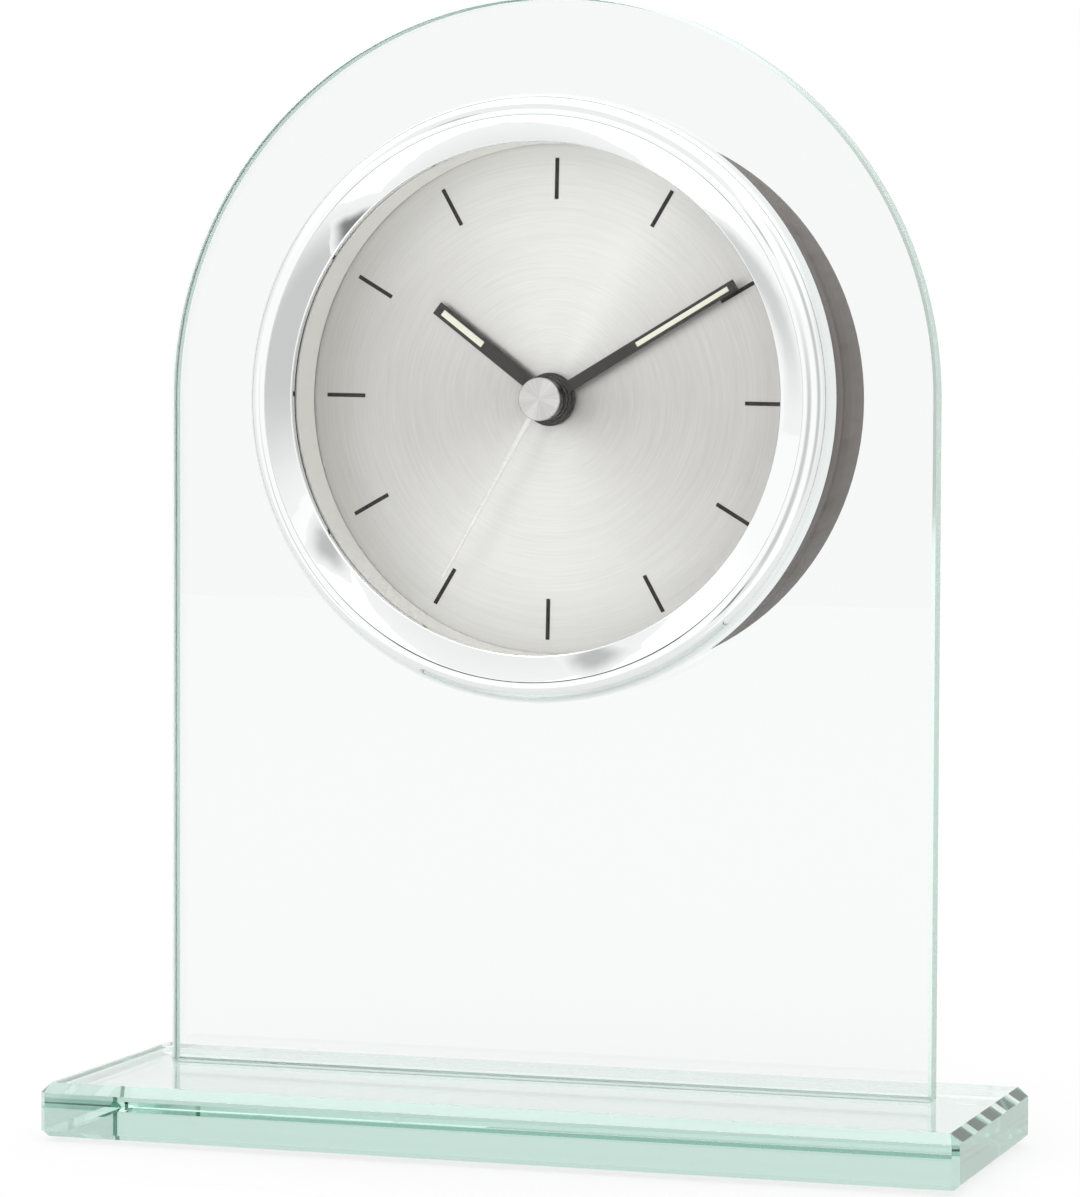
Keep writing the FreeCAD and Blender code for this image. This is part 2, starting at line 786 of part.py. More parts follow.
def make_door():
    # The cover sits in the rebate, flush with the back, with raised ribs for the thumb.
    door = new_body("battery_door")
    start = f"({PLATE_BACK} - dims.door_thickness + dims.door_play)"
    block(door, "Pad", bay_box("dims.rebate_margin - dims.door_play"), start, PLATE_BACK,
          bay_corner("dims.rebate_margin - dims.door_play"))
    sketch = new_sketch(door, "XZ_Plane", PLATE_BACK)
    lowest = f"(-{CELL_DROP} - (dims.door_rib_count - 1) * dims.door_rib_step / 2)"
    box_outline(sketch, "-dims.door_rib_length / 2", "dims.door_rib_length / 2",
                f"({lowest} - dims.door_rib_width / 2)", f"({lowest} + dims.door_rib_width / 2)")
    rib = extrude(door, "Pad", sketch, "dims.door_rib")
    row_of_ribs = door.newObject("PartDesign::LinearPattern", "ribs")
    row_of_ribs.Originals = [rib]
    row_of_ribs.Direction = (sketch, ["V_Axis"])
    row_of_ribs.setExpression("Length", "(dims.door_rib_count - 1) * dims.door_rib_step")
    row_of_ribs.setExpression("Occurrences", "dims.door_rib_count")
    door.Tip = row_of_ribs


def screws(label, places, radius, head_radius, head_height, tip, seat):
    pieces = []
    for x, z in places:
        screw = doc.addObject("Part::Fuse", "screw")
        screw.Base = along_y(doc.addObject("Part::Cylinder", "shank"), radius, f"({seat}) - ({tip})",
                             x, f"dims.panel_front_y + {tip}", f"{AXIS_Z} + {z}")
        screw.Tool = along_y(doc.addObject("Part::Cylinder", "head"), head_radius, head_height,
                             x, f"dims.panel_front_y + {seat}", f"{AXIS_Z} + {z}")
        pieces.append(screw)
    group(label, pieces)


def make_case_screws():
    screws("case_screws", post_places(), "dims.case_screw_radius", "dims.case_head_radius",
           "dims.case_head_height", f"({PLATE_BACK} - dims.case_screw_length + dims.cut_overrun)",
           PLATE_BACK)


def lengthwise(label, points):
    # Points are (x, radius) about an axis that runs left to right.
    body = doc.addObject("PartDesign::Body", label)
    body.Label = label
    sub_parts.append(body)
    sketch = new_sketch(body, "XY_Plane")
    outline(sketch, points)
    feature = body.newObject("PartDesign::Revolution", "turn")
    feature.Profile = sketch
    feature.ReferenceAxis = (sketch, ["H_Axis"])
    feature.Angle = 360
    body.Tip = feature
    return body


def make_battery():
    half = "(dims.cell_length / 2 + dims.nub_length / 2)"
    shoulder = f"({half} - dims.nub_length)"
    edge = "(dims.cell_radius - dims.cell_edge)"
    cell = lengthwise("battery", [
        (f"(-{half})", "0"),
        (f"(-{half})", edge),
        (f"(-{half} + dims.cell_edge)", "dims.cell_radius"),
        (f"({shoulder} - dims.cell_edge)", "dims.cell_radius"),
        (shoulder, edge),
        (shoulder, "dims.nub_radius"),
        (half, "dims.nub_radius"),
        (half, "0"),
    ])
    place(cell, "0", "dims.panel_front_y + dims.cell_depth", f"{AXIS_Z} - {CELL_DROP}")


def make_contacts():
    # Sprung strips bent from sheet: a flat against the end wall and a tongue that presses the cell.
    reach = "(dims.cell_length / 2 + dims.nub_length / 2)"
    wall = f"({reach} + dims.bay_end_play)"
    thickness = "dims.contact_thickness"
    far = "(dims.cell_radius - dims.contact_foot)"
    for label, side in (("positive_contact", ""), ("negative_contact", "-")):
        body = doc.addObject("PartDesign::Body", label)
        body.Label = label
        sub_parts.append(body)
        place(body, "0", "dims.panel_front_y + dims.cell_depth",
              f"{AXIS_Z} - {CELL_DROP} - dims.contact_width / 2")
        sketch = new_sketch(body, "XY_Plane")
        profile = [
            (wall, "(-dims.cell_radius)"),
            (wall, far),
            (f"({wall} - {thickness})", far),
            (f"({wall} - {thickness})", f"(-{far})"),
            (f"({reach} + {thickness})", "(-dims.contact_spring)"),
            (f"({reach} + {thickness})", "dims.contact_spring"),
            (reach, "dims.contact_spring"),
            (reach, "(-dims.contact_spring)"),
            (f"({wall} - 2 * {thickness})", "(-dims.cell_radius)"),
        ]
        outline(sketch, [(f"({side}{x})", y) for x, y in profile])
        strip = body.newObject("PartDesign::Pad", "strip")
        strip.Profile = sketch
        strip.setExpression("Length", "dims.contact_width")
        body.Tip = strip


def housing_box(inset="0"):
    half = f"(dims.housing_half_width - {inset})"
    return (f"(-{half})", half, f"(-dims.housing_bottom + {inset})", f"(dims.housing_top - {inset})")


def movement_corners():
    left, right, low, high = housing_box("dims.corner_post_inset")
    return [(left, low), (right, low), (right, high), (left, high)]


def make_housing():
    # The front half of the movement: a tray with the centre bush, bearings, posts and the motion stud.
    tray = new_body("movement_front")
    block(tray, "Pad", housing_box(), SUPPORT_BACK, COVER_FRONT, "dims.housing_corner")
    block(tray, "Pocket", housing_box("dims.housing_side_wall"), HOUSING_INNER,
          f"{COVER_FRONT} + dims.cut_overrun", "(dims.housing_corner - dims.housing_side_wall)")
    disc(tray, "dims.bush_radius", f"({DIAL_FRONT} - dims.bush_proud)", SUPPORT_BACK)
    sketch = new_sketch(tray, "XZ_Plane", HOUSING_INNER)
    for x, z in movement_corners():
        circle(sketch, "dims.corner_post_radius", x, z)
    extrude(tray, "Pad", sketch, f"{COVER_FRONT} - {HOUSING_INNER}")
    sketch = new_sketch(tray, "XZ_Plane", HOUSING_INNER)
    circle(sketch, "dims.motion_post_radius", *MOTION_AT)
    extrude(tray, "Pad", sketch, f"{level(2)} - dims.level_clearance - {HOUSING_INNER}")
    drill(tray, "(dims.hour_tube_radius + dims.pivot_play)", f"({DIAL_FRONT} - dims.bush_proud)",
          HOUSING_INNER)
    drill(tray, "(dims.arbor_radius + dims.pivot_play)", SUPPORT_BACK, HOUSING_INNER,
          [THIRD_AT, IDLER_AT, ROTOR_AT])
    drill(tray, "(dims.setting_arbor_radius + dims.pivot_play)", SUPPORT_BACK, HOUSING_INNER,
          [SETTING_AT])
    drill(tray, "(dims.movement_screw_radius + dims.movement_screw_play)", SUPPORT_BACK, COVER_FRONT,
          movement_corners())

    cover = new_body("movement_rear")
    block(cover, "Pad", housing_box(), COVER_FRONT, COVER_BACK, "dims.housing_corner")
    drill(cover, "(dims.arbor_radius + dims.pivot_play)", COVER_FRONT, COVER_BACK,
          [("0", "0"), THIRD_AT, IDLER_AT, ROTOR_AT])
    drill(cover, "(dims.setting_arbor_radius + dims.pivot_play)", COVER_FRONT, COVER_BACK, [SETTING_AT])
    drill(cover, "(dims.movement_screw_radius + dims.movement_screw_play)", COVER_FRONT, COVER_BACK,
          movement_corners())
    screws("movement_screws", movement_corners(), "dims.movement_screw_radius",
           "dims.movement_head_radius", "dims.movement_head_height",
           f"({SUPPORT_BACK} - dims.movement_screw_bite)", COVER_BACK)


def make_running_train():
    # Rotor, idler, seconds, third and centre wheels, each a step behind the last.
    rotor = new_body("rotor", *ROTOR_AT, ROTOR_TURN)
    disc(rotor, "dims.arbor_radius", ARBOR_FRONT, ARBOR_BACK)
    add_pinion(rotor, "dims.rotor_module", "dims.rotor_pinion", 5)
    magnet = f"({level(5)} + dims.wheel_width + dims.magnet_gap)"
    disc(rotor, "dims.magnet_radius", magnet, f"{magnet} + dims.magnet_length")

    idler = new_body("idler_wheel", *IDLER_AT, IDLER_TURN)
    disc(idler, "dims.arbor_radius", ARBOR_FRONT, ARBOR_BACK)
    add_pinion(idler, "dims.seconds_module", "dims.idler_pinion", 4)
    add_wheel(idler, "dims.rotor_module", "dims.idler_teeth", 5)

    seconds = new_body("seconds_wheel")
    disc(seconds, "dims.arbor_radius", SECOND_BUSH_FRONT, ARBOR_BACK)
    add_pinion(seconds, "dims.third_module", "dims.seconds_pinion", 3)
    add_wheel(seconds, "dims.seconds_module", "dims.seconds_teeth", 4)

    third = new_body("third_wheel", *THIRD_AT, THIRD_TURN)
    disc(third, "dims.arbor_radius", ARBOR_FRONT, ARBOR_BACK)
    add_pinion(third, CENTRE_MODULE, "dims.third_pinion", 2)
    add_wheel(third, "dims.third_module", "dims.third_teeth", 3)

    centre = new_body("centre_wheel", turn=CENTRE_TURN)
    add_wheel(centre, CENTRE_MODULE, "dims.centre_teeth", 2)
    drill(centre, "(dims.minute_tube_radius + dims.pivot_play)", level(2),
          f"{level(2)} + dims.wheel_width")


def make_motion_work():
    # The tubes that carry the hands, and the wheels that the setting knob turns.
    minute = new_body("minute_arbor")
    tube_back = f"({level(2)} + dims.wheel_width + dims.pinion_extra)"
    disc(minute, "dims.minute_tube_radius", MINUTE_FRONT, tube_back)
    add_pinion(minute, "dims.motion_module", "dims.cannon_pinion", 1)
    drill(minute, "(dims.arbor_radius + dims.pivot_play)", MINUTE_FRONT, tube_back)

    motion = new_body("motion_wheel", *MOTION_AT, MOTION_TURN)
    add_pinion(motion, HOUR_MODULE, "dims.motion_pinion", 0)
    disc(motion, "dims.motion_hub_radius", f"({level(0)} + dims.wheel_width)", level(1))
    add_wheel(motion, "dims.motion_module", "dims.motion_teeth", 1)
    drill(motion, "(dims.motion_post_radius + dims.pivot_play)", f"({level(0)} - dims.pinion_extra)",
          f"{level(1)} + dims.wheel_width")

    hour = new_body("hour_wheel", turn=HOUR_TURN)
    disc(hour, "dims.hour_tube_radius", HOUR_FRONT, f"({level(0)} + dims.wheel_width)")
    add_wheel(hour, HOUR_MODULE, "dims.hour_teeth", 0)
    drill(hour, "(dims.minute_tube_radius + dims.pivot_play)", HOUR_FRONT,
          f"{level(0)} + dims.wheel_width")

    setting = new_body("setting_arbor", *SETTING_AT, SETTING_TURN)
    disc(setting, "dims.setting_arbor_radius", ARBOR_FRONT, KNOB_FLOOR)
    add_pinion(setting, "dims.motion_module", "dims.setting_pinion", 1)


HOUR_BACK = f"({DIAL_FRONT} - dims.hour_gap)"
HOUR_FRONT = f"({HOUR_BACK} - dims.hand_thickness)"
MINUTE_BACK = f"({HOUR_FRONT} - dims.minute_gap)"
MINUTE_FRONT = f"({MINUTE_BACK} - dims.hand_thickness)"
COLLAR_FRONT = f"({MINUTE_FRONT} - dims.minute_collar)"
SECOND_BUSH_BACK = f"({COLLAR_FRONT} - dims.second_gap)"
SECOND_BUSH_FRONT = f"({SECOND_BUSH_BACK} - dims.second_bush_height)"
SECOND_FRONT = f"({SECOND_BUSH_FRONT} - dims.second_thickness)"
CAP_FRONT = f"({SECOND_FRONT} - dims.cap_height)"
KNOB_FRONT = f"({PLATE_BACK} + dims.knob_gap)"
KNOB_BACK = f"({KNOB_FRONT} + dims.knob_height)"
KNOB_STEM = f"({KNOB_FRONT} - dims.knob_stem_length)"
KNOB_FLOOR = f"({KNOB_STEM} + dims.knob_bore_depth)"


def make_hand(name, length, front, bore):
    # A flat black bar on a round hub, with a pale inlay let into its face.
    hand = new_body(f"{name}_hand", turn=f"dims.{name}_angle")
    back = f"({front} + dims.hand_thickness)"
    disc(hand, f"dims.{name}_hub_radius", front, back)
    half = f"(dims.{name}_width / 2)"
    block(hand, "Pad", (f"(-{half})", half, "0", length), front, back)
    lume_tip = f"({length} - dims.{name}_lume_end)"
    inlay = (f"(-dims.{name}_lume_width / 2)", f"(dims.{name}_lume_width / 2)",
             f"({lume_tip} - dims.{name}_lume_length)", lume_tip)
    block(hand, "Pocket", inlay, front, f"{front} + dims.lume_depth")
    if name == "minute":
        disc(hand, "dims.minute_collar_radius", COLLAR_FRONT, front)
        drill(hand, "(dims.arbor_radius + 2 * dims.pivot_play)", COLLAR_FRONT, front)
    drill(hand, bore, front, back)
    lume = new_body(f"{name}_lume", turn=f"dims.{name}_angle")
    block(lume, "Pad", inlay, front, f"{front} + dims.lume_depth")


def make_hands():
    minute_length = f"({LIP_RADIUS} - dims.minute_margin)"
    second_length = f"({LIP_RADIUS} - dims.second_margin)"
    make_hand("hour", "dims.hour_length", HOUR_FRONT, "dims.hour_tube_radius")
    make_hand("minute", minute_length, MINUTE_FRONT, "dims.minute_tube_radius")

    bush = new_body("second_bush")
    disc(bush, "dims.second_bush_radius", SECOND_BUSH_FRONT, SECOND_BUSH_BACK, "dims.arbor_radius")
    hand = new_body("second_hand", turn="dims.second_angle")
    disc(hand, "dims.second_hub_radius", SECOND_FRONT, SECOND_BUSH_FRONT)
    sketch = new_sketch(hand, "XZ_Plane", SECOND_FRONT)
    outline(sketch, [
        ("-dims.second_root_width / 2", "0"),
        ("dims.second_root_width / 2", "0"),
        ("dims.second_tip_width / 2", second_length),
        ("-dims.second_tip_width / 2", second_length),
    ])
    extrude(hand, "Pad", sketch, f"{SECOND_BUSH_FRONT} - {SECOND_FRONT}")
    cap = new_body("second_cap")
    disc(cap, "dims.cap_radius", CAP_FRONT, SECOND_FRONT)
    bevel(cap, lies_at("Y", CAP_FRONT), "dims.cap_edge")


def make_knob():
    knob = new_body("setting_knob", *SETTING_AT)
    disc(knob, "dims.knob_stem_radius", KNOB_STEM, KNOB_FRONT)
    disc(knob, "dims.knob_radius", KNOB_FRONT, KNOB_BACK)
    bevel(knob, lies_at("Y", KNOB_BACK), "dims.knob_edge")
    sketch = new_sketch(knob, "XZ_Plane", KNOB_FRONT)
    mouth = "(dims.knob_radius + dims.knob_groove_depth)"
    outline(sketch, [
        ("0", "(dims.knob_radius - dims.knob_groove_depth)"),
        ("dims.knob_groove_width", mouth),
        ("-dims.knob_groove_width", mouth),
    ])
    groove = extrude(knob, "Pocket", sketch, "dims.knob_height")
    repeat_round(knob, [groove], "dims.knob_groove_count")
    drill(knob, "dims.setting_arbor_radius", KNOB_STEM, KNOB_FLOOR)


def make_motor():
    # Stator: a loop of soft iron round the rotor, whose lower bar runs through the coil.
    magnet = f"({level(5)} + dims.wheel_width + dims.magnet_gap)"
    middle = f"({magnet} + dims.magnet_length / 2)"
    plate_front = f"({middle} - dims.stator_thickness / 2)"
    stator = new_body("stator")
    sketch = new_sketch(stator, "XZ_Plane", plate_front)
    box_outline(sketch, "(-dims.stator_left)", "dims.stator_right",
                "(-dims.stator_lower)", "(-dims.stator_upper)")
    box_outline(sketch, "(-dims.stator_left + dims.stator_bar)", "dims.window_right",
                "(-dims.stator_lower + dims.stator_bar)", "(-dims.stator_upper - dims.stator_bar)")
    circle(sketch, "dims.stator_bore", *ROTOR_AT)
    extrude(stator, "Pad", sketch, "dims.stator_thickness")

    bar_half = "(dims.stator_bar / 2 + dims.bobbin_play)"
    half = "(dims.bobbin_length / 2)"
    inside = f"({half} - dims.flange_thickness)"
    centre_x = "((dims.window_right - dims.stator_left + dims.stator_bar) / 2)"
    bobbin = lengthwise("coil_bobbin", [
        (f"(-{half})", "0"),
        (f"(-{half})", "dims.flange_radius"),
        (f"(-{inside})", "dims.flange_radius"),
        (f"(-{inside})", "dims.bobbin_radius"),
        (inside, "dims.bobbin_radius"),
        (inside, "dims.flange_radius"),
        (half, "dims.flange_radius"),
        (half, "0"),
    ])
    slot = new_sketch(bobbin, "YZ_Plane")
    box_outline(slot, "-(dims.stator_thickness / 2 + dims.bobbin_play)",
                "dims.stator_thickness / 2 + dims.bobbin_play", f"(-{bar_half})", bar_half)
    cut = bobbin.newObject("PartDesign::Pocket", "slot")
    cut.Profile = slot
    cut.Type = "ThroughAll"
    cut.Midplane = True
    bobbin.Tip = cut
    winding = lengthwise("coil_winding", [
        (f"(-{inside})", "dims.bobbin_radius"),
        (f"(-{inside})", "dims.winding_radius"),
        (inside, "dims.winding_radius"),
        (inside, "dims.bobbin_radius"),
    ])
    for piece in (bobbin, winding):
        place(piece, centre_x, f"dims.panel_front_y + {middle}",
              f"{AXIS_Z} - dims.stator_lower + dims.stator_bar / 2")


def make_board():
    board = new_body("circuit_board")
    start = f"({COVER_FRONT} - dims.board_thickness)"
    block(board, "Pad", ("dims.board_left", "dims.board_right", "dims.board_low", "dims.board_high"),
          start, COVER_FRONT)
    chip = doc.addObject("Part::Cylinder", "driver_chip")
    chip.Label = "driver_chip"
    along_y(chip, "dims.chip_radius", "dims.chip_height", "dims.chip_x",
            f"dims.panel_front_y + {start} - dims.chip_height", f"{AXIS_Z} + dims.chip_z")
    crystal = doc.addObject("Part::Cylinder", "quartz_crystal")
    crystal.Label = "quartz_crystal"
    crystal.setExpression("Radius", "dims.crystal_radius")
    crystal.setExpression("Height", "dims.crystal_length")
    place(crystal, "dims.crystal_x", f"dims.panel_front_y + {start} - dims.crystal_radius",
          f"{AXIS_Z} + dims.crystal_z", "90")
    sub_parts.extend([chip, crystal])


make_base()
make_feet()
make_bond()
make_panel()
make_bezel()
make_stack()
make_support()
make_clamp()
make_case()
make_case_back()
make_door()
make_case_screws()
make_battery()
make_contacts()
make_housing()
make_running_train()
make_motion_work()
make_hands()
make_knob()
make_motor()
make_board()
doc.recompute()

for item in doc.Objects:
    if {"Invalid", "Error"} & set(item.State):
        raise RuntimeError(f"{item.Label} failed: {item.State}")
for part in sub_parts:
    if part.Shape.isNull() or not part.Shape.isValid():
        raise RuntimeError(f"{part.Label} has no valid shape")

os.makedirs("parts", exist_ok=True)
for part in sub_parts:
    part.Shape.exportStep(f"parts/{part.Label}.step")
print(len(sub_parts), "sub-parts written")
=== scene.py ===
import bmesh
import bpy
import json
import math
from mathutils import Matrix, Vector


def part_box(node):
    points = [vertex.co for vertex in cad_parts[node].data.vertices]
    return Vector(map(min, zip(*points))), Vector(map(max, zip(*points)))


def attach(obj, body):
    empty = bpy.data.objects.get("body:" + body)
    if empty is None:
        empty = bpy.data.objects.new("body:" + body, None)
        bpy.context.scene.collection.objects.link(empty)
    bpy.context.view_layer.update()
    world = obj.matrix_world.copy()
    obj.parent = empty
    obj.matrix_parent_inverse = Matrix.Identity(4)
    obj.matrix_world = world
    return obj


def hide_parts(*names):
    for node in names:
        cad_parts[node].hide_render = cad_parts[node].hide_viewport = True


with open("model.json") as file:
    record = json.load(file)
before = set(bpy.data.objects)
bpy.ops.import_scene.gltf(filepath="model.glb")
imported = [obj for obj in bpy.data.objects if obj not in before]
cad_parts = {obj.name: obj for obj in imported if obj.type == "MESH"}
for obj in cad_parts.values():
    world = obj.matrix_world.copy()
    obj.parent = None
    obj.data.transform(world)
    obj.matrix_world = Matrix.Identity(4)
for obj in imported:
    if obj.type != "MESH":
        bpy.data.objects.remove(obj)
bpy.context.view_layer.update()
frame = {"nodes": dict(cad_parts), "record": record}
nodes = frame["nodes"]
record = frame["record"]
bodyOf = {node: body for body, members in record["behaviour"]["bodies"].items() for node in members}
slotOf = {part["node"]: part["material_slot"] for part in record["subparts"]}
print("frame loaded:", len(nodes), "nodes")

mm = 0.001

# Places that the pieces share, read from the frame.
panelLow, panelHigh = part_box("glass_panel")
panelFront = panelLow.y
panelBack = panelHigh.y
bezelLow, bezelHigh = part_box("bezel")
axisZ = (bezelLow.z + bezelHigh.z) / 2
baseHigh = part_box("base_plate")[1]


def depth(node, side):
    # how far a node's front (0) or back (1) lies behind the panel's face, in mm
    return (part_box(node)[side].y - panelFront) / mm


def reach(node):
    # a round node's radius about the clock's axis, in mm
    low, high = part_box(node)
    return (high.x - low.x) / 2 / mm


def toLinear(hexColour):
    channels = []
    for i in (1, 3, 5):
        value = int(hexColour[i:i + 2], 16) / 255
        channels.append(value / 12.92 if value <= 0.04045 else ((value + 0.055) / 1.055) ** 2.4)
    return (*channels, 1.0)


def finishMesh(bm, name, sharpAngle=30.0):
    bmesh.ops.remove_doubles(bm, verts=bm.verts, dist=1e-7)
    bmesh.ops.recalc_face_normals(bm, faces=bm.faces)
    mesh = bpy.data.meshes.new(name)
    bm.to_mesh(mesh)
    bm.free()
    mesh.shade_smooth()
    mesh.set_sharp_from_angle(angle=math.radians(sharpAngle))
    obj = bpy.data.objects.new(name, mesh)
    bpy.context.scene.collection.objects.link(obj)
    return obj


def setMaterial(obj, material):
    obj.data.materials.clear()
    obj.data.materials.append(material)


def standFor(piece, material, node):
    # the piece takes a node's place, on its body and with its finish
    setMaterial(piece, material)
    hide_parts(node)
    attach(piece, bodyOf[node])


def addTo(piece, material, node):
    # a small moulded or pressed detail that belongs to a node which stays
    setMaterial(piece, material)
    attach(piece, bodyOf[node])


def onAxis(x, s, z):
    # a point of the insert: right of, behind and above the crossing of its axis with the panel's face
    return Vector((x * mm, panelFront + s * mm, axisZ + z * mm))


def arcPoints(cx, cy, r, fromDeg, toDeg, steps):
    for i in range(steps + 1):
        angle = math.radians(fromDeg + (toDeg - fromDeg) * i / steps)
        yield (cx + r * math.cos(angle), cy + r * math.sin(angle))


def spinProfile(name, profile, steps=256, sharpAngle=30.0, centre=(0, 0)):
    # turns a closed profile of (radius, depth) points, in mm, about the clock's axis or a line beside it
    bm = bmesh.new()
    cx, cz = centre
    verts = [bm.verts.new(onAxis(cx + r, s, cz)) for r, s in profile]
    edges = [bm.edges.new(pair) for pair in zip(verts, verts[1:] + verts[:1])]
    bmesh.ops.spin(bm, geom=verts + edges, cent=onAxis(cx, 0, cz), axis=(0, 1, 0),
                   angle=math.tau, steps=steps, use_merge=True)
    return finishMesh(bm, name, sharpAngle)


def softened(node, name, width, sharpAngle=32.0):
    # a copy of a node's mesh, merged, with its sharp edges rounded off by a width in mm
    bm = bmesh.new()
    bm.from_mesh(nodes[node].data)
    bmesh.ops.remove_doubles(bm, verts=bm.verts, dist=1e-6)
    bmesh.ops.dissolve_limit(bm, angle_limit=math.radians(0.4), verts=bm.verts, edges=bm.edges)
    sharp = [edge for edge in bm.edges
             if len(edge.link_faces) == 2 and edge.calc_face_angle(0) > math.radians(sharpAngle)]
    bmesh.ops.bevel(bm, geom=sharp, offset=width * mm, affect="EDGES", segments=2, profile=0.5,
                    material=-1, clamp_overlap=True)
    return finishMesh(bm, name, sharpAngle)


def addNode(tree, kind, inputs=None, links=None, **settings):
    node = tree.nodes.new(kind)
    for key, value in settings.items():
        setattr(node, key, value)
    for key, value in (inputs or {}).items():
        node.inputs[key].default_value = value
    for key, socket in (links or {}).items():
        tree.links.new(socket, node.inputs[key])
    return node


def newMaterial(name, colour=None, **sockets):
    material = bpy.data.materials.new(name)
    material.use_nodes = True
    tree = material.node_tree
    shader = tree.nodes["Principled BSDF"]
    if colour:
        shader.inputs["Base Color"].default_value = toLinear(colour)
    for key, value in sockets.items():
        shader.inputs[key.replace("_", " ")].default_value = value
    return material, tree, shader


def objectCoords(tree, centre=(0, 0, 0), scale=(1, 1, 1)):
    coords = addNode(tree, "ShaderNodeTexCoord")
    move = addNode(tree, "ShaderNodeMapping", {"Scale": scale}, {"Vector": coords.outputs["Object"]})
    move.inputs["Location"].default_value = [-c * k for c, k in zip(centre, scale)]
    return move.outputs["Vector"]


def mathNode(tree, operation, a, b=None):
    node = addNode(tree, "ShaderNodeMath", operation=operation)
    for index, value in enumerate((a, b)):
        if value is None:
            continue
        if isinstance(value, (int, float)):
            node.inputs[index].default_value = value
        else:
            tree.links.new(value, node.inputs[index])
    return node.outputs[0]


def mapRange(tree, value, fromLow, fromHigh, toLow, toHigh, shape="LINEAR"):
    node = addNode(tree, "ShaderNodeMapRange",
                   {"From Min": fromLow, "From Max": fromHigh, "To Min": toLow, "To Max": toHigh},
                   {"Value": value}, interpolation_type=shape)
    return node.outputs["Result"]


def colourRamp(tree, factor, stops):
    node = addNode(tree, "ShaderNodeValToRGB", links={"Fac": factor})
    ramp = node.color_ramp
    while len(ramp.elements) < len(stops):
        ramp.elements.new(0.5)
    for element, (place, colour) in zip(ramp.elements, stops):
        element.position = place
        element.color = toLinear(colour)
    return node.outputs["Color"]


def noise(tree, vector, scale, detail, roughness):
    node = addNode(tree, "ShaderNodeTexNoise",
                   {"Scale": scale, "Detail": detail, "Roughness": roughness}, {"Vector": vector})
    return node.outputs["Fac"]


def grainNoise(tree, sizeMm, detail=3.0, roughness=0.5, stretch=(1, 1, 1)):
    # noise that stays with the piece, its grains as large as sizeMm
    return noise(tree, objectCoords(tree, scale=stretch), 1 / (sizeMm * mm), detail, roughness)


def addTones(tree, shader, factor, dark, pale, low=0.3, high=0.7):
    tree.links.new(colourRamp(tree, factor, [(low, dark), (high, pale)]), shader.inputs["Base Color"])


def addGloss(tree, shader, factor, ends, low=0.3, high=0.7):
    tree.links.new(mapRange(tree, factor, low, high, *ends), shader.inputs["Roughness"])


def addBump(tree, shader, height, distance, strength=1.0):
    bump = addNode(tree, "ShaderNodeBump", {"Distance": distance, "Strength": strength},
                   {"Height": height})
    tree.links.new(bump.outputs["Normal"], shader.inputs["Normal"])


def polar(tree):
    # distance from the clock's axis in metres, and the direction from it
    flat = objectCoords(tree, (0, 0, axisZ), (1, 0, 1))
    length = addNode(tree, "ShaderNodeVectorMath", links={0: flat}, operation="LENGTH")
    unit = addNode(tree, "ShaderNodeVectorMath", links={0: flat}, operation="NORMALIZE")
    return length.outputs["Value"], unit.outputs["Vector"]


def ringNoise(tree, radius, direction, acrossMm, turns):
    # streaks that run round the axis: acrossMm apart, and as short as turns makes them
    along = addNode(tree, "ShaderNodeVectorMath", {"Scale": turns}, {0: direction}, operation="SCALE")
    across = addNode(tree, "ShaderNodeCombineXYZ",
                     links={"Y": mathNode(tree, "MULTIPLY", radius, 1 / (acrossMm * mm))})
    both = addNode(tree, "ShaderNodeVectorMath",
                   links={0: along.outputs["Vector"], 1: across.outputs["Vector"]}, operation="ADD")
    return noise(tree, both.outputs["Vector"], 1.0, 3.0, 0.6)


def addPaintedHighlightFans(tree, light, direction, paintedHighlightFans):
    # Paints a highlight into the colour both ways along an angle, read clockwise from 12: a painted
    # highlight fan. Each fan has its angle, sharpness and gain.
    for angle, sharpness, gain in paintedHighlightFans:
        aim = (math.sin(math.radians(angle)), 0, math.cos(math.radians(angle)))
        dot = addNode(tree, "ShaderNodeVectorMath", {1: aim}, {0: direction}, operation="DOT_PRODUCT")
        fan = mathNode(tree, "POWER", mathNode(tree, "ABSOLUTE", dot.outputs["Value"]), sharpness)
        light = mathNode(tree, "ADD", light, mathNode(tree, "MULTIPLY", fan, gain))
    return light


def addRadialTangent(tree, shader):
    tangent = addNode(tree, "ShaderNodeTangent", direction_type="RADIAL", axis="Y")
    tree.links.new(tangent.outputs[0], shader.inputs["Tangent"])


floatGlassValues = {
    "ior": 1.52,
    "tint": (0.54, 0.76, 0.69, 1.0),      # linear; what isn't tint is absorbed
    "density": 20.0,                      # per metre
    "edgeTint": "#e0f3ec",
    "edgeRoughness": 0.2,
    "edgeFrost": 0.42,
    "endRoughness": 0.04,
    "endFrost": 0.3,
    "endSkin": 0.05,
}


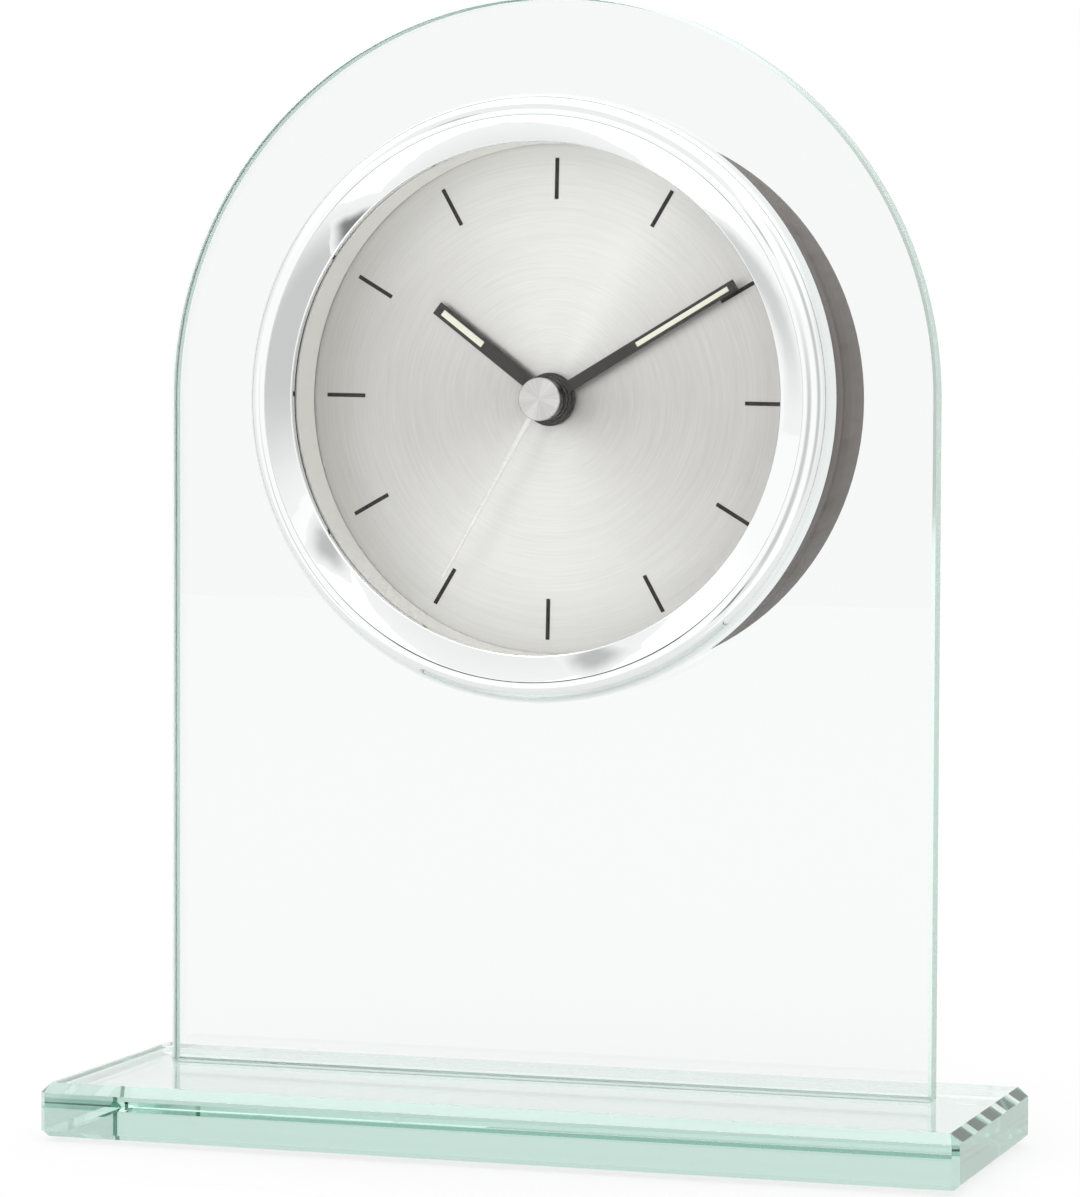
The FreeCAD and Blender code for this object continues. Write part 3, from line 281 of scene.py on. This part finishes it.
def makeFloatGlass():
    # Soda-lime float glass: the iron in it turns long paths through it green. The base's two ends are
    # less finely polished than its faces and scatter some light, and so do the panel's edges, which the
    # attribute groundEdge marks.
    v = floatGlassValues
    material, tree, shader = newMaterial("clearFloatGlass", "#ffffff", Transmission_Weight=1.0,
                                         IOR=v["ior"], Roughness=0.0)
    absorb = addNode(tree, "ShaderNodeVolumeAbsorption", {"Color": v["tint"], "Density": v["density"]})
    across = addNode(tree, "ShaderNodeSeparateXYZ", links={0: objectCoords(tree)}).outputs["X"]
    atEnd = mathNode(tree, "GREATER_THAN", mathNode(tree, "ABSOLUTE", across),
                     baseHigh.x - v["endSkin"] * mm)
    marked = addNode(tree, "ShaderNodeAttribute", attribute_name="groundEdge").outputs["Fac"]
    ground = mathNode(tree, "MAXIMUM", atEnd, marked)
    finish = {}
    for what in ("Roughness", "Frost"):
        ends = mathNode(tree, "MULTIPLY", atEnd, v["end" + what])
        edges = mathNode(tree, "MULTIPLY", marked, v["edge" + what])
        finish[what] = mathNode(tree, "MAXIMUM", ends, edges)
    clear = mathNode(tree, "SUBTRACT", 1.0, finish["Frost"])
    mix = addNode(tree, "ShaderNodeMixRGB", {"Color1": (1, 1, 1, 1), "Color2": toLinear(v["edgeTint"])},
                  {"Fac": ground})
    tree.links.new(mix.outputs["Color"], shader.inputs["Base Color"])
    tree.links.new(finish["Roughness"], shader.inputs["Roughness"])
    tree.links.new(clear, shader.inputs["Transmission Weight"])
    tree.links.new(absorb.outputs[0], tree.nodes["Material Output"].inputs["Volume"])
    return material


def makeClear(name, colour, roughness, ior, clarity=1.0):
    # Clear cast or cut material with no tint to speak of: the lens, the cured film and the soft feet.
    return newMaterial(name, colour, Transmission_Weight=clarity, IOR=ior, Roughness=roughness)[0]


floatGlass = makeFloatGlass()
# The lens is coated against reflections, which its low index stands for.
lensGlass = makeClear("coatedMineralGlass", "#ffffff", 0.0, 1.18)
curedFilm = makeClear("curedClearAdhesive", "#f4fbf8", 0.3, 1.5, 0.6)
clearBumper = makeClear("castPolyurethane", "#f2f8f6", 0.06, 1.48)

panelValues = {
    "arris": 0.5,
    "archSteps": 160,
    "holeSteps": 256,
    "holeRadius": 53.0,
    "filmGap": 0.02,
    "faceOn": 0.9,
}


def archLoop(bm, inset, y):
    # a half circle from one side to the other, carried straight down and closed along the foot
    half = (panelHigh.x - panelLow.x) / 2 - inset
    foot = panelLow.z + inset
    first = bm.verts.new((half, y, axisZ))
    made = bmesh.ops.spin(bm, geom=[first], cent=(0, y, axisZ), axis=(0, -1, 0), angle=math.pi,
                          steps=panelValues["archSteps"])
    last = made["geom_last"][0]
    corners = bmesh.ops.extrude_vert_indiv(bm, verts=[first, last])["verts"]
    for corner in corners:
        corner.co.z = foot
    bm.edges.new(corners)


def makePanel():
    bm = bmesh.new()
    arris = panelValues["arris"] * mm
    places = [(arris, panelFront), (0, panelFront + arris), (0, panelBack - arris), (arris, panelBack)]
    ends = []
    for hole in (False, True):
        loops = []
        for inset, y in places:
            before = set(bm.edges)
            if hole:
                turn = Matrix.Translation((0, y, axisZ)) @ Matrix.Rotation(math.pi / 2, 4, "X")
                bmesh.ops.create_circle(bm, segments=panelValues["holeSteps"],
                                        radius=panelValues["holeRadius"] * mm + inset, matrix=turn)
            else:
                archLoop(bm, inset, y)
            loops.append([edge for edge in bm.edges if edge not in before])
        for a, b in zip(loops, loops[1:]):
            bmesh.ops.bridge_loops(bm, edges=a + b)
        ends.append((loops[0], loops[-1]))
    for outer, inner in zip(*ends):
        bmesh.ops.triangle_fill(bm, use_beauty=True, edges=outer + inner)
    panel = finishMesh(bm, "glassPanel", 20.0)
    ground = panel.data.attributes.new("groundEdge", "FLOAT", "FACE")
    ground.data.foreach_set("value", [float(abs(face.normal.y) < panelValues["faceOn"])
                                      for face in panel.data.polygons])
    standFor(panel, floatGlass, "glass_panel")


def makeFilm():
    # the cured adhesive under the panel, just clear of both glasses
    low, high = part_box("bond_line")
    gap = panelValues["filmGap"] * mm
    bm = bmesh.new()
    bmesh.ops.create_cube(bm, size=1.0)
    size = high - low - Vector((0, 0, 2 * gap))
    bmesh.ops.scale(bm, vec=size, verts=bm.verts)
    bmesh.ops.translate(bm, vec=(low + high) / 2, verts=bm.verts)
    upright = [edge for edge in bm.edges if abs(edge.verts[0].co.z - edge.verts[1].co.z) > gap]
    bmesh.ops.bevel(bm, geom=upright, offset=size.y / 3, affect="EDGES", segments=4, profile=0.5,
                    material=-1)
    standFor(finishMesh(bm, "bondFilm"), curedFilm, "bond_line")


footValues = {
    "rim": 4.0,
    "sole": 3.5,
    "shoulder": 0.35,
    "filmGap": 0.05,
    "steps": 48,
}


def makeFeet():
    # four stick-on domes, each a hair below the glass so that the two faces don't share a plane
    v = footValues
    low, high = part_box("bumper_feet")
    top = (high.z - v["filmGap"] * mm) / mm
    bm = bmesh.new()
    for x in (low.x + v["rim"] * mm, high.x - v["rim"] * mm):
        for y in (low.y + v["rim"] * mm, high.y - v["rim"] * mm):
            profile = [(0, 0), (v["sole"] - v["shoulder"], 0)]
            profile += list(arcPoints(v["sole"] - v["shoulder"], v["shoulder"], v["shoulder"], -70, 0, 4))
            profile += [(v["rim"], top), (0, top)]
            verts = [bm.verts.new((x + r * mm, y, z * mm)) for r, z in profile]
            edges = [bm.edges.new(pair) for pair in zip(verts, verts[1:])]
            bmesh.ops.spin(bm, geom=verts + edges, cent=(x, y, 0), axis=(0, 0, 1), angle=math.tau,
                           steps=v["steps"], use_merge=True)
    standFor(finishMesh(bm, "bumperFeet"), clearBumper, "bumper_feet")


makePanel()
makeFilm()
makeFeet()
setMaterial(nodes["base_plate"], floatGlass)
setMaterial(nodes["lens"], lensGlass)
print("glass made")

bezelValues = {
    "outer": 56.5,
    "relief": 0.04,
    "wall": 4.3,
    "shoulder": 4.3,
    "crest": 52.4,
    "crestRound": 0.3,
    "lip": 47.5,
    "lipRound": 0.6,
    "lipDrop": 1.75,
    "footRound": 0.25,
    "sleeveSet": 3.9,
    "sleeveWall": 1.8,
    "seatPlay": 0.2,
    "ripple": 5.0,
    "rippleHeight": 0.03,
    "haze": 1.2,
    "gloss": (0.02, 0.05),
}


def makeChrome():
    # Bright nickel-chrome plating on moulded ABS: a mirror with the faintest orange peel.
    v = bezelValues
    material, tree, shader = newMaterial("chromedAbs", "#e8eaea", Metallic=1.0)
    addGloss(tree, shader, grainNoise(tree, v["haze"], 2.0), v["gloss"])
    addBump(tree, shader, grainNoise(tree, v["ripple"], 1.0), v["rippleHeight"] * mm, 0.5)
    return material


def makeBezel():
    v = bezelValues
    crest = -(v["wall"] + v["shoulder"])
    lipTop = crest + v["lipDrop"]
    middle = v["outer"] - v["shoulder"]
    sleeve = reach("bezel") - v["sleeveSet"]
    bore = sleeve - v["sleeveWall"]
    seat = reach("lens") + v["seatPlay"]
    lensFront = depth("lens", 0)
    dialBack = depth("dial", 1)
    end = depth("bezel", 1)
    profile = [(sleeve, -v["relief"]), (v["outer"] - v["footRound"], -v["relief"]),
               (v["outer"], -v["relief"] - v["footRound"])]
    profile += arcPoints(middle, -v["wall"], v["shoulder"], 0, -84, 24)
    profile += arcPoints(v["crest"], crest + v["crestRound"], v["crestRound"], -88, -112, 4)
    profile += arcPoints(v["lip"] + v["lipRound"], lipTop + v["lipRound"], v["lipRound"], -112, -180, 8)
    profile += [(v["lip"], lensFront), (seat, lensFront), (seat, dialBack), (bore, dialBack),
                (bore, end), (sleeve, end)]
    standFor(spinProfile("bezelRing", profile, 288), makeChrome(), "bezel")


makeBezel()
print("bezel made")

ringValues = {
    "bore": 47.8,
    "undercut": 0.3,
    "undercutHeight": 0.35,
    "grain": 0.7,
    "grainHeight": 0.01,
}


def makeCreamAbs():
    # Cream ABS, satin moulded. The last third of a millimetre above the dial lies in an undercut, and its
    # colour there is painted near-black as painted shade.
    v = ringValues
    material, tree, shader = newMaterial("creamMouldedAbs", Roughness=0.42)
    height = addNode(tree, "ShaderNodeSeparateXYZ", links={0: objectCoords(tree)}).outputs["Y"]
    # painted shade: near-black colour on the wall in the undercut just above the dial
    foot = panelFront + (depth("dial", 0) - v["undercutHeight"]) * mm
    paintedGapShade = mathNode(tree, "GREATER_THAN", height, foot)
    grain = grainNoise(tree, v["grain"])
    cream = colourRamp(tree, grain, [(0.3, "#fcfcf5"), (0.7, "#fffffa")])
    mix = addNode(tree, "ShaderNodeMixRGB", {"Color2": toLinear("#14110f")},
                  {"Fac": paintedGapShade, "Color1": cream})
    tree.links.new(mix.outputs["Color"], shader.inputs["Base Color"])
    addBump(tree, shader, grain, v["grainHeight"] * mm, 0.4)
    return material


def makeDialRing():
    v = ringValues
    front = depth("dial_ring", 0)
    back = depth("dial_ring", 1)
    outer = reach("dial_ring")
    step = back - v["undercutHeight"]
    profile = [(v["bore"], front), (v["bore"], step), (v["bore"] + v["undercut"], step),
               (v["bore"] + v["undercut"], back), (outer, back), (outer, front)]
    standFor(spinProfile("dialRing", profile), makeCreamAbs(), "dial_ring")


dialValues = {
    "ringSpacing": 0.22,
    "ringTurns": 2.6,
    "ringHeight": 0.01,
    "ringShare": (0.14, 0.32),
    "driftSpacing": 9.0,
    "driftTurns": 1.1,
    "driftShare": (-0.03, 0.03),
    "paintedHighlightFans": [(4, 2.2, 0.5), (27, 60.0, 0.13)],
    "gloss": (0.52, 0.43),
    "inkSpacing": 0.45,
    "inkTurns": 2.2,
}


def makeSpunAluminium():
    # Anodised aluminium, brushed on a lathe: fine rings that fan the light out from the centre through
    # anisotropy, with painted highlight fans in the colour as well, bright towards 12 and 6 and in a narrow
    # wedge at 27 degrees.
    # The rings are 0.1 mm apart on the real sheet, drawn at 0.22 mm so that they show.
    v = dialValues
    material, tree, shader = newMaterial("spunAluminium", Metallic=0.9, Anisotropic=0.65,
                                         Anisotropic_Rotation=0.25)
    radius, direction = polar(tree)
    fine = ringNoise(tree, radius, direction, v["ringSpacing"], v["ringTurns"])
    broad = ringNoise(tree, radius, direction, v["driftSpacing"], v["driftTurns"])
    light = mathNode(tree, "ADD", mapRange(tree, fine, 0.25, 0.75, *v["ringShare"]),
                     mapRange(tree, broad, 0.3, 0.7, *v["driftShare"]))
    # painted highlight: the colour is brightened towards 12 and 6 and in a narrow wedge at 27 degrees
    light = addPaintedHighlightFans(tree, light, direction, v["paintedHighlightFans"])
    addTones(tree, shader, light, "#c1c0bc", "#f2f2f0", 0.0, 1.0)
    addGloss(tree, shader, fine, v["gloss"], 0.25, 0.75)
    addRadialTangent(tree, shader)
    addBump(tree, shader, fine, v["ringHeight"] * mm, 0.5)
    return material


def makeInk():
    # Matt black ink, pad printed: thin enough to follow the brushing below it.
    v = dialValues
    material, tree, shader = newMaterial("padPrintedInk", Roughness=0.6)
    radius, direction = polar(tree)
    addTones(tree, shader, ringNoise(tree, radius, direction, v["inkSpacing"], v["inkTurns"]),
             "#1b1817", "#262220")
    return material


makeDialRing()
setMaterial(nodes["dial"], makeSpunAluminium())
setMaterial(nodes["hour_marks"], makeInk())
print("dial made")

handValues = {
    "edge": 0.07,
    "capEdge": 0.1,
    "bushEdge": 0.12,
    "paintSpeck": 0.35,
    "speckHeight": 0.004,
    "lumeGrain": 0.2,
    "lumeHeight": 0.01,
    "stripGrain": 0.4,
    "bushSpacing": 0.3,
    "bushTurns": 0.5,
    "capStreaks": 7.0,
    "capPaintedHighlightFans": [(30, 14.0, 0.3), (100, 20.0, 0.2)],
}


def makeSatinBlack():
    # Stamped steel under satin black stoving paint.
    v = handValues
    material, tree, shader = newMaterial("satinBlackPaint", Roughness=0.42, Coat_Weight=0.15,
                                         Coat_Roughness=0.3)
    speck = grainNoise(tree, v["paintSpeck"])
    addTones(tree, shader, speck, "#231f1d", "#2b2725")
    addBump(tree, shader, speck, v["speckHeight"] * mm, 0.5)
    return material


def makeLume():
    # Luminous paint: matt, cream with a touch of green, and slightly grainy.
    v = handValues
    material, tree, shader = newMaterial("luminousPaint", Roughness=0.75)
    grain = grainNoise(tree, v["lumeGrain"], 4.0)
    addTones(tree, shader, grain, "#eaecd9", "#f4f5e5")
    addBump(tree, shader, grain, v["lumeHeight"] * mm, 0.6)
    return material


def makeBrushedSilver():
    # Aluminium strip, brushed across its width and left bright.
    material, tree, shader = newMaterial("brushedSilverStrip", Metallic=0.85, Roughness=0.3)
    addTones(tree, shader, grainNoise(tree, handValues["stripGrain"], stretch=(1, 0.2, 1)),
             "#d2d2d0", "#e6e6e4")
    return material


def makeRadialSilver():
    # Turned aluminium cap, brushed outwards from its centre, so that it flashes in narrow wedges: partly
    # through its anisotropy, and partly as painted highlight wedges in its colour at 30 and 100 degrees.
    v = handValues
    material, tree, shader = newMaterial("radialBrushedCap", Metallic=0.9, Roughness=0.34,
                                         Anisotropic=0.7)
    direction = polar(tree)[1]
    streak = noise(tree, direction, v["capStreaks"], 3.0, 0.7)
    # painted highlight: brighter wedges in the colour at 30 and 100 degrees, on top of the brushing streaks
    light = addPaintedHighlightFans(tree, mapRange(tree, streak, 0.3, 0.7, 0.15, 0.65), direction, v["capPaintedHighlightFans"])
    addTones(tree, shader, light, "#b4b2b0", "#dddcdb", 0.0, 1.0)
    addRadialTangent(tree, shader)
    return material


def makeGlossBlack():
    # Black acetal, turned: smooth with a low gloss.
    v = handValues
    material, tree, shader = newMaterial("turnedBlackAcetal", Roughness=0.3)
    radius, direction = polar(tree)
    addTones(tree, shader, ringNoise(tree, radius, direction, v["bushSpacing"], v["bushTurns"]),
             "#1c1a19", "#292625")
    return material


def makeHands():
    v = handValues
    black = makeSatinBlack()
    lume = makeLume()
    for name in ("hour", "minute"):
        standFor(softened(f"{name}_hand", f"{name}HandBar", v["edge"]), black, f"{name}_hand")
        setMaterial(nodes[f"{name}_lume"], lume)
    standFor(softened("second_hand", "secondHandStrip", v["edge"]), makeBrushedSilver(), "second_hand")
    standFor(softened("second_bush", "secondBush", v["bushEdge"]), makeGlossBlack(), "second_bush")
    standFor(softened("second_cap", "secondCap", v["capEdge"]), makeRadialSilver(), "second_cap")


makeHands()
print("hands made")

caseValues = {
    "edge": 0.15,
    "knobRing": (7.4, 8.2),
    "ringProud": 0.35,
    "grain": 0.45,
    "grainHeight": 0.03,
    "cloud": 14.0,
    "gloss": (0.44, 0.58),
    "steelLines": 0.8,
    "steelGloss": (0.2, 0.36),
}


def makeCaseAbs():
    # Warm grey ABS from a spark-eroded mould: an even fine grain that spreads the light.
    # The grain is about 0.15 mm on the real case, drawn at 0.45 mm so that it shows.
    v = caseValues
    material, tree, shader = newMaterial("texturedCaseAbs", Roughness=0.5, Specular_IOR_Level=0.24)
    grain = grainNoise(tree, v["grain"], 4.0, 0.6)
    blend = mathNode(tree, "ADD", mathNode(tree, "MULTIPLY", grain, 0.6),
                     mathNode(tree, "MULTIPLY", grainNoise(tree, v["cloud"], 2.0), 0.4))
    addTones(tree, shader, blend, "#493f39", "#544943", 0.35, 0.65)
    addGloss(tree, shader, grain, v["gloss"])
    addBump(tree, shader, grain, v["grainHeight"] * mm, 0.5)
    return material


def makePlatedSteel():
    # Nickel-plated steel: bright, with faint drawing lines.
    v = caseValues
    material, tree, shader = newMaterial("nickelPlatedSteel", "#d3d2cf", Metallic=1.0, Roughness=0.28)
    addGloss(tree, shader, grainNoise(tree, v["steelLines"], stretch=(1, 6, 1)), v["steelGloss"])
    return material


screwValues = {
    "head": 2.5,
    "rounded": 0.35,
    "shank": 1.3,
    "arm": 1.35,
    "slot": 0.3,
    "sunk": 0.75,
}


def makeScrews(material):
    # pan heads with a cross recess, on plain shanks
    v = screwValues
    head = v["head"]
    rounded = v["rounded"]
    low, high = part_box("case_screws")
    seat = depth("case_back", 1)
    tip = depth("case_screws", 0)
    top = depth("case_screws", 1)
    cross = [(v["slot"], v["arm"]), (-v["slot"], v["arm"]), (-v["slot"], v["slot"])]
    points = []
    for quarter in range(4):
        turn = Matrix.Rotation(quarter * math.pi / 2, 2)
        points += [turn @ Vector(point) for point in cross]
    bm = bmesh.new()
    for x in (low.x / mm + head, high.x / mm - head):
        for z in ((low.z - axisZ) / mm + head, (high.z - axisZ) / mm - head):
            floor = [bm.verts.new(onAxis(x + p.x, top - v["sunk"], z + p.y)) for p in points]
            base = bm.faces.new(floor)
            wall = bmesh.ops.extrude_face_region(bm, geom=[base])
            rim = [item for item in wall["geom"] if isinstance(item, bmesh.types.BMVert)]
            bmesh.ops.translate(bm, verts=rim, vec=(0, v["sunk"] * mm, 0))
            lid = [item for item in wall["geom"] if isinstance(item, bmesh.types.BMFace)]
            mouth = list(lid[0].edges)
            bmesh.ops.delete(bm, geom=lid, context="FACES_ONLY")
            profile = list(arcPoints(head - rounded, top - rounded, rounded, 90, 0, 5))
            profile += [(head, seat), (v["shank"], seat), (v["shank"], tip), (0, tip)]
            verts = [bm.verts.new(onAxis(x + r, s, z)) for r, s in profile]
            edges = [bm.edges.new(pair) for pair in zip(verts, verts[1:])]
            bmesh.ops.spin(bm, geom=verts + edges, cent=onAxis(x, 0, z), axis=(0, 1, 0),
                           angle=math.tau, steps=40, use_merge=True)
            centre = onAxis(x, top, z)
            brim = [edge for edge in bm.edges if len(edge.link_faces) == 1 and edge not in mouth
                    and all(abs(vert.co.y - centre.y) < 1e-6 for vert in edge.verts)
                    and (edge.verts[0].co - centre).length < head * mm]
            bmesh.ops.triangle_fill(bm, use_beauty=True, edges=mouth + brim)
    standFor(finishMesh(bm, "caseScrewsCross"), material, "case_screws")


def makeCase():
    v = caseValues
    caseAbs = makeCaseAbs()
    for node, name in (("case_drum", "caseDrum"), ("clamp_ring", "clampRing"), ("case_back", "caseBack"),
                       ("battery_door", "batteryDoor"), ("setting_knob", "settingKnob")):
        standFor(softened(node, name, v["edge"]), caseAbs, node)
    plate = depth("case_back", 1)
    knobLow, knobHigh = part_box("setting_knob")
    knobAt = ((knobLow.x + knobHigh.x) / 2 / mm, ((knobLow.z + knobHigh.z) / 2 - axisZ) / mm)
    inner, outer = v["knobRing"]
    back = plate + v["ringProud"]
    rounded = (outer - inner) / 3
    profile = [(inner, plate - 0.1), (inner, back - rounded), (inner + rounded, back),
               (outer - rounded, back), (outer, back - rounded), (outer, plate - 0.1)]
    addTo(spinProfile("knobCollar", profile, 96, centre=knobAt), caseAbs, "case_back")
    steel = makePlatedSteel()
    makeScrews(steel)
    for node in ("movement_screws", "positive_contact", "negative_contact", "quartz_crystal"):
        setMaterial(nodes[node], steel)


makeCase()
print("case made")

insideValues = {
    "movement_plastic": ("#e2dfd6", "#ebe9e1", 0.45, 0.6),
    "wheel_plastic": ("#ece7d6", "#f5f1e4", 0.35, 0.5),
    "seal_rubber": ("#141313", "#201f1e", 0.7, 0.4),
    "stator_iron": ("#8a8987", "#a3a2a0", 0.4, 0.8),
    "coil_copper": ("#9a4f24", "#c9793f", 0.3, 0.12),
    "board_green": ("#0f4a2c", "#17613a", 0.3, 1.2),
    "chip_black": ("#0d0d0d", "#191919", 0.25, 1.5),
    "cell_jacket": ("#1f2023", "#2b2d31", 0.35, 2.0),
}


def makeInside(slot):
    # Moulded ABS and acetal, nitrile, stamped iron, wound copper, solder mask, potting and a cell's
    # jacket: each has its two tones, its roughness and the size of its grain in mm.
    dark, pale, roughness, grainSize = insideValues[slot]
    metal = 1.0 if slot in ("stator_iron", "coil_copper") else 0.0
    material, tree, shader = newMaterial(slot.title().replace("_", ""), Metallic=metal)
    stretch = (8, 1, 1) if slot == "coil_copper" else (1, 1, 1)
    grain = grainNoise(tree, grainSize, stretch=stretch)
    addTones(tree, shader, grain, dark, pale)
    addGloss(tree, shader, grain, (roughness - 0.06, roughness + 0.06))
    addBump(tree, shader, grain, 0.01 * mm, 0.4)
    return material


for slotName in insideValues:
    inside = makeInside(slotName)
    for node in (name for name, slot in slotOf.items() if slot == slotName):
        setMaterial(nodes[node], inside)
print("inside pieces finished")

cameraValues = {
    "azimuth": 18.308,
    "elevation": 2.47,
    "roll": 0.223,
    "distance": 0.8136,
    "focalPixels": 4372.6,
    "imageWidth": 1080.0,
    "sensor": 36.0,
    "target": (0.00068, -0.005, 0.10196),
}


def makeCamera():
    v = cameraValues
    data = bpy.data.cameras.new("photoCamera")
    data.sensor_fit = "HORIZONTAL"
    data.sensor_width = v["sensor"]
    data.lens = v["sensor"] * v["focalPixels"] / v["imageWidth"]
    data.clip_end = 100.0
    camera = bpy.data.objects.new("photoCamera", data)
    bpy.context.scene.collection.objects.link(camera)
    a = math.radians(v["azimuth"])
    e = math.radians(v["elevation"])
    back = Vector((math.sin(a) * math.cos(e), -math.cos(a) * math.cos(e), math.sin(e)))
    look = back.to_track_quat("Z", "Y").to_matrix().to_4x4()
    roll = Matrix.Rotation(math.radians(v["roll"]), 4, "Z")
    camera.matrix_world = Matrix.Translation(Vector(v["target"]) + back * v["distance"]) @ look @ roll
    bpy.context.scene.camera = camera


stageValues = {
    "level": 1.0,
    "frontGain": 1.18,
    "frontFull": -0.3,
    "frontEnds": 0.2,
    "skyLevel": 1.32,
    "skyFrom": 14.0,
    "skyFull": 40.0,
    "floorSide": 1.6,
    "floorFront": 0.07,
    "floorBack": 2.2,
    "floorColour": "#7c7c7c",
    "floorGlow": 0.735,
    "keyPower": 8.0,
    "keySize": 3.0,
    "keyPlace": (-0.3, -0.2, 3.0),
    "bounces": 128,
    "cardDistance": 3.0,
    "cardStep": 0.05,
    "cardRim": 1.1,
    # What stands round the white tent and shows only in reflections: degrees to the viewer's right of
    # straight ahead of the dial, half its width, degrees up, half its height, brightness, and how much
    # of it fades into the tent. The first is the dark opening that the clock is photographed through.
    "cards": [
        (-18.3, 7.5, -2.5, 10.5, 0.04, 0.05),
        (22, 13, -12, 28, 0.72, 0.7),
        (15, 4, -30, 6, 0.25, 0.6),
        (-58, 4, -16, 20, 0.78, 0.8),
        (-57, 2, -24, 4, 0.05, 0.5),
        (17, 5, 24, 5, 0.62, 0.8),
        (-36, 5, 36, 5, 0.62, 0.8),
        (70, 12, 5, 40, 0.7, 0.7),
        (-18, 34, -50, 14, 1.0, 0.5),
        (-18, 34, 48, 14, 1.05, 0.5),
        (-64, 14, 70, 14, 5.0, 0.6),
    ],
}


def makeWorld():
    # a white tent all round, brighter overhead than along the horizon, and brighter on the dial's side
    v = stageValues
    world = bpy.data.worlds.new("lightTent")
    world.use_nodes = True
    bpy.context.scene.world = world
    tree = world.node_tree
    coords = addNode(tree, "ShaderNodeTexCoord")
    axes = addNode(tree, "ShaderNodeSeparateXYZ", links={0: coords.outputs["Generated"]}).outputs
    rise = mathNode(tree, "DEGREES", mathNode(tree, "ARCSINE", mathNode(tree, "ABSOLUTE", axes["Z"])))
    level = mapRange(tree, rise, v["skyFrom"], v["skyFull"], v["level"], v["skyLevel"], "SMOOTHSTEP")
    gain = mapRange(tree, axes["Y"], v["frontFull"], v["frontEnds"], v["frontGain"], 1.0, "SMOOTHSTEP")
    tree.links.new(mathNode(tree, "MULTIPLY", level, gain), tree.nodes["Background"].inputs["Strength"])
    tree.nodes["Background"].inputs["Color"].default_value = (1, 1, 1, 1)


def makeGlow(name, colour, strength):
    # paper or card that the tent lights from behind
    material, tree, shader = newMaterial(name, colour, Roughness=0.9, Specular_IOR_Level=0.0,
                                         Emission_Strength=strength)
    shader.inputs["Emission Color"].default_value = (1, 1, 1, 1)
    material.cycles.emission_sampling = "NONE"
    return material, tree, shader


def makeCard(index, aside, halfWide, up, halfHigh, brightness, fade):
    # each card stands a little farther off than the one before it
    v = stageValues
    distance = v["cardDistance"] + v["cardStep"] * index
    a = math.radians(aside)
    e = math.radians(up)
    toward = Vector((math.sin(a) * math.cos(e), -math.cos(a) * math.cos(e), math.sin(e)))
    turn = toward.to_track_quat("Z", "Y").to_matrix()
    middle = Vector((0, 0, axisZ)) + toward * distance
    halves = [distance * math.tan(math.radians(half)) for half in (halfWide, halfHigh)]
    bm = bmesh.new()
    bmesh.ops.create_grid(bm, x_segments=1, y_segments=1, size=1.0)
    bmesh.ops.scale(bm, vec=(*halves, 1), verts=bm.verts)
    bmesh.ops.transform(bm, matrix=Matrix.Translation(middle) @ turn.to_4x4(), verts=bm.verts)
    card = finishMesh(bm, f"tentCard{index}")

    material, tree, shader = makeGlow(f"cardPaper{index}", "#000000", brightness)
    place = objectCoords(tree, middle)
    cover = 1.0
    for axis, half in enumerate(halves):
        along = addNode(tree, "ShaderNodeVectorMath", {1: turn.col[axis]}, {0: place},
                        operation="DOT_PRODUCT").outputs["Value"]
        edge = mapRange(tree, mathNode(tree, "ABSOLUTE", along), half * (1 - fade), half, 1.0, 0.0,
                        "SMOOTHSTEP")
        cover = mathNode(tree, "MULTIPLY", edge, cover)
    tree.links.new(mapRange(tree, cover, 0.0, 1.0, v["cardRim"], brightness),
                   shader.inputs["Emission Strength"])
    setMaterial(card, material)
    for ray in ("camera", "diffuse", "volume_scatter", "shadow", "transmission"):
        setattr(card, f"visible_{ray}", False)


def makeStage():
    v = stageValues
    scene = bpy.context.scene
    scene.view_settings.view_transform = "Standard"
    scene.view_settings.look = "None"
    scene.cycles.use_denoising = True
    for kind in ("max", "transmission", "glossy"):
        setattr(scene.cycles, f"{kind}_bounces", v["bounces"])
    makeWorld()
    for index, card in enumerate(v["cards"]):
        makeCard(index, *card)

    bm = bmesh.new()
    bmesh.ops.create_grid(bm, x_segments=1, y_segments=1, size=1.0)
    bmesh.ops.scale(bm, vec=(v["floorSide"], (v["floorFront"] + v["floorBack"]) / 2, 1), verts=bm.verts)
    bmesh.ops.translate(bm, vec=(0, (v["floorBack"] - v["floorFront"]) / 2, 0), verts=bm.verts)
    floor = finishMesh(bm, "studioFloor")
    setMaterial(floor, makeGlow("whitePaperSweep", v["floorColour"], v["floorGlow"])[0])

    data = bpy.data.lights.new("overheadSoftbox", "AREA")
    data.shape = "DISK"
    data.size = v["keySize"]
    data.energy = v["keyPower"]
    key = bpy.data.objects.new("overheadSoftbox", data)
    key.location = v["keyPlace"]
    key.rotation_euler = Vector(key.location).to_track_quat("Z", "Y").to_euler()
    key.visible_glossy = False
    key.visible_transmission = False
    scene.collection.objects.link(key)


makeCamera()
makeStage()
print("camera and stage made")
